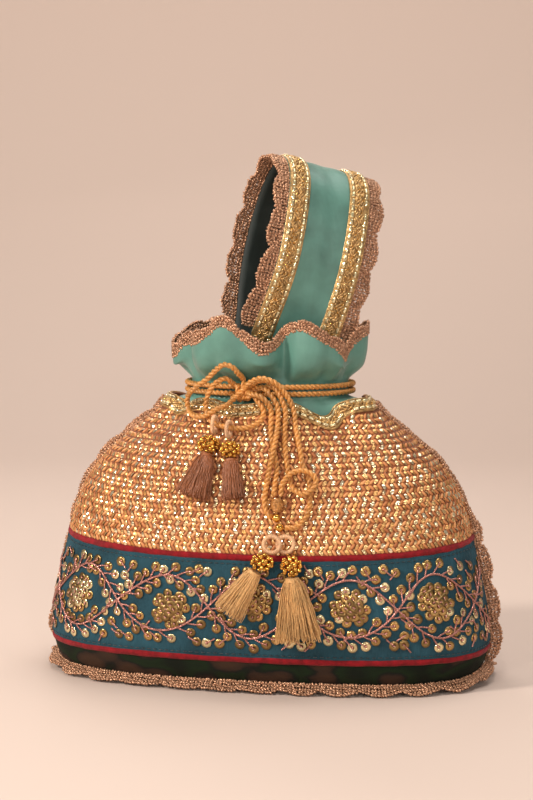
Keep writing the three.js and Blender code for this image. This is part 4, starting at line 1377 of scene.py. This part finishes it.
class POTLI_OT_lace(bpy.types.Operator):
    """Make the crochet lace on the seams, the cuff's rim and the handle"""

    bl_idname = "potli.lace"
    bl_label = "Lace"

    def execute(self, context):
        for side, sign in (("left", -1), ("right", 1)):
            def on_handle(s, w, h, sign=sign):
                u = 0.1 + 0.8 * s / (HANDLE_LONG * 0.8)
                return handle_at(u, sign * (STRAP_HALF + w), h + 0.3 * math.sin(s * 0.5) * min(1, w / 3))
            lace_piece("handle_lace_" + side, on_handle, HANDLE_LONG * 0.8, 7.6, "handle_lace_" + side)

            heights = np.linspace(11, 147, 120)
            run = run_along([bag_at(0 if sign > 0 else math.pi, z) for z in heights])

            def on_side(s, w, h, sign=sign, run=run, side=side):
                z = float(np.interp(s, run, heights))
                a = 0 if sign > 0 else math.pi
                w, fold = w * (1 - 0.35 * smooth(z, 74, 92)) - 0.5, LACE_FOLD[side](z) * RAD
                n, back = normal_at(bag_at, a, z), Vector((0, 1, 0))
                past = max(0, w - LACE_ROOT)
                p = bag_at(a, z) + n * (min(w, LACE_ROOT) + math.cos(fold) * past)
                p = p + back * (math.sin(fold) * past)
                if not past:
                    fold = 0
                lift = h * sign + 0.4 * math.sin(s * 0.21) * w / 8
                return p + (back * math.cos(fold) - n * math.sin(fold)) * lift
            lace_piece("side_lace_" + side, on_side, float(run[-1]), 6.2, "side_lace_" + side)

        run, degs = around(lambda a: bag_at(a, 4.2))

        def on_base(s, w, h):
            a = float(np.interp(s % run[-1], run, degs)) * RAD
            rise = abs(math.cos(a)) ** 12
            z0 = 5.6 + 3.5 * rise
            n = normal_at(bag_at, a, z0)
            n.z = 0
            slope = min(1, w / 6.5)
            z = mix(z0, 1.6 + 5 * rise, slope) + 0.5 * math.sin(s * 0.33) * slope
            return bag_at(a, z0) + n.normalized() * (0.6 + w * 0.78 + h * 0.5) + Vector((0, 0, z - z0 + h * 0.6))
        count = round(run[-1] / SCALLOP)
        lace_piece("base_lace", on_base, float(run[-1]), 6.4, "base_lace", float(run[-1]) / count, (1,))

        rim_run, rim_degs = around(lambda a: cuff_at(a, 1.0))

        def on_rim(s, w, h):
            a = float(np.interp(s % rim_run[-1], rim_run, rim_degs)) * RAD
            return off(cuff_at, a, 0.985 + w / 37, h, 0.01)
        count = round(rim_run[-1] / SCALLOP)
        lace_piece("cuff_lace", on_rim, float(rim_run[-1]), 5.8, "cuff_lace", float(rim_run[-1]) / count)
        return {"FINISHED"}


def braid_piece(name, place, long, wide, rows, twists, node):
    """Gold braid: a ribbed ground, twisted wire down its middle and rows of bar beads."""
    ground = cloth_piece(name, lambda u, v: place(u * long, v * wide, 0.0), int(long / 1.2), 6, finish("braid"), 0.5,
                         scale=(long, wide))
    finished(ground, "braid", node)
    rng = random.Random(int(long))
    places = []
    for w in rows:
        s = 2.2
        while s < long - 2:
            p, q, r = Vector(place(s, w, 0.75)), Vector(place(s + 0.5, w, 0.75)), Vector(place(s, w, 1.25))
            if rng.random() > 0.04:
                places.append(set_on(p, q - p, r - p, 0.95, 1.62, 0.85, rng.uniform(-0.08, 0.08)))
            s += 3.75 + rng.uniform(-0.15, 0.2)
    finished(repeated(name + "_bars", bar_bead(), places, [finish("bar")], seed=3), "braid")
    lines = []
    ss = np.arange(0.4, long - 0.4, 0.45)
    for w0, swing, turn in twists:
        for phase in (0, 2 * math.pi / 3, 4 * math.pi / 3):
            lines.append([(*place(s, w0 + swing * math.sin(2 * math.pi * s / turn + phase),
                                  0.6 + 0.45 * math.cos(4 * math.pi * s / turn + phase)), 0.68) for s in ss])
    for w0 in (0.35, wide - 0.35):
        lines.append([(*place(s, w0, 0.25), 0.4 + 0.08 * math.sin(s * 4)) for s in ss])
    finished(thread_piece(name + "_wires", lines, finish("braid"), 0), "braid")
    dots = []
    for w0, swing, turn in twists:
        for s in np.arange(1.2, long - 1.2, turn / 3):
            if rng.random() < 0.55:
                p = Vector(place(s, w0 + rng.uniform(-0.9, 0.9), 1.15))
                dots.append(set_on(p, Vector(place(s + 0.5, w0, 1.15)) - p, Vector((0, -1, 0.2)), 0.5, 0.5, 0.5))
    finished(repeated(name + "_dots", ball(), dots, [finish("bead")], seed=9), "braid")


class POTLI_OT_braid(bpy.types.Operator):
    """Make the gold braid on the handle and round the top of the woven panels"""

    bl_idname = "potli.braid"
    bl_label = "Gold braid"

    def execute(self, context):
        for side, sign in (("left", -1), ("right", 1)):
            def on_handle(s, w, h, sign=sign):
                return handle_at(s / HANDLE_LONG, sign * (STRAP_HALF - w), 1.3 + h)
            if sign < 0:
                place = on_handle
            else:
                def place(s, w, h, f=on_handle):
                    return f(HANDLE_LONG - s, w, h)
            braid_piece("handle_braid_" + side, place, HANDLE_LONG, STRAP_BRAID, (2.1, 9.6),
                        ((4.7, 1.1, 7.0), (7.0, 1.1, 6.2)), "handle_braid_" + side)
        for side, start, end in HALVES:
            degs = np.arange(start + 0.4, end - 0.3, 0.5)
            run = run_along([bag_at(d * RAD, edge_z(d * RAD)) for d in degs])

            def on_neck(s, w, h, run=run, degs=degs):
                a = float(np.interp(s, run, degs)) * RAD
                return off(lambda p, q: bag_at(p, q, 1.0), a, edge_z(a) - BRAID_WIDE + w, 0.75 + h)
            braid_piece("neck_braid_" + side, on_neck, float(run[-1]), BRAID_WIDE, (4.9, 1.5), ((3.2, 0.9, 6.6),),
                        "neck_braid_" + side)
        return {"FINISHED"}


# ---- panel and registration --------------------------------------------------------------------
STEPS = (POTLI_OT_stage, POTLI_OT_drawstring, POTLI_OT_knot, POTLI_OT_tassels, POTLI_OT_woven, POTLI_OT_band,
         POTLI_OT_piping, POTLI_OT_base, POTLI_OT_lining, POTLI_OT_cuff, POTLI_OT_handle, POTLI_OT_lace,
         POTLI_OT_braid)


class POTLI_PT_panel(bpy.types.Panel):
    """Lists the pieces of the potli bag"""

    bl_idname = "POTLI_PT_panel"
    bl_label = "Potli Bag"
    bl_space_type = "VIEW_3D"
    bl_region_type = "UI"
    bl_category = "Potli"

    def draw(self, context):
        for group in (context.scene.potli_sizes, context.scene.potli_colours):
            box = self.layout.box()
            for name in group.__annotations__:
                box.prop(group, name)
        for step in STEPS:
            self.layout.operator(step.bl_idname)


CLASSES = (POTLI_PG_sizes, POTLI_PG_colours, *STEPS, POTLI_PT_panel)


def register():
    for cls in CLASSES:
        bpy.utils.register_class(cls)
    bpy.types.Scene.potli_sizes = bpy.props.PointerProperty(type=POTLI_PG_sizes)
    bpy.types.Scene.potli_colours = bpy.props.PointerProperty(type=POTLI_PG_colours)


def unregister():
    del bpy.types.Scene.potli_colours
    del bpy.types.Scene.potli_sizes
    for cls in reversed(CLASSES):
        bpy.utils.unregister_class(cls)


def main():
    register()
    for step in STEPS:
        group, name = step.bl_idname.split(".")
        getattr(getattr(bpy.ops, group), name)()


if __name__ == "__main__":
    main()
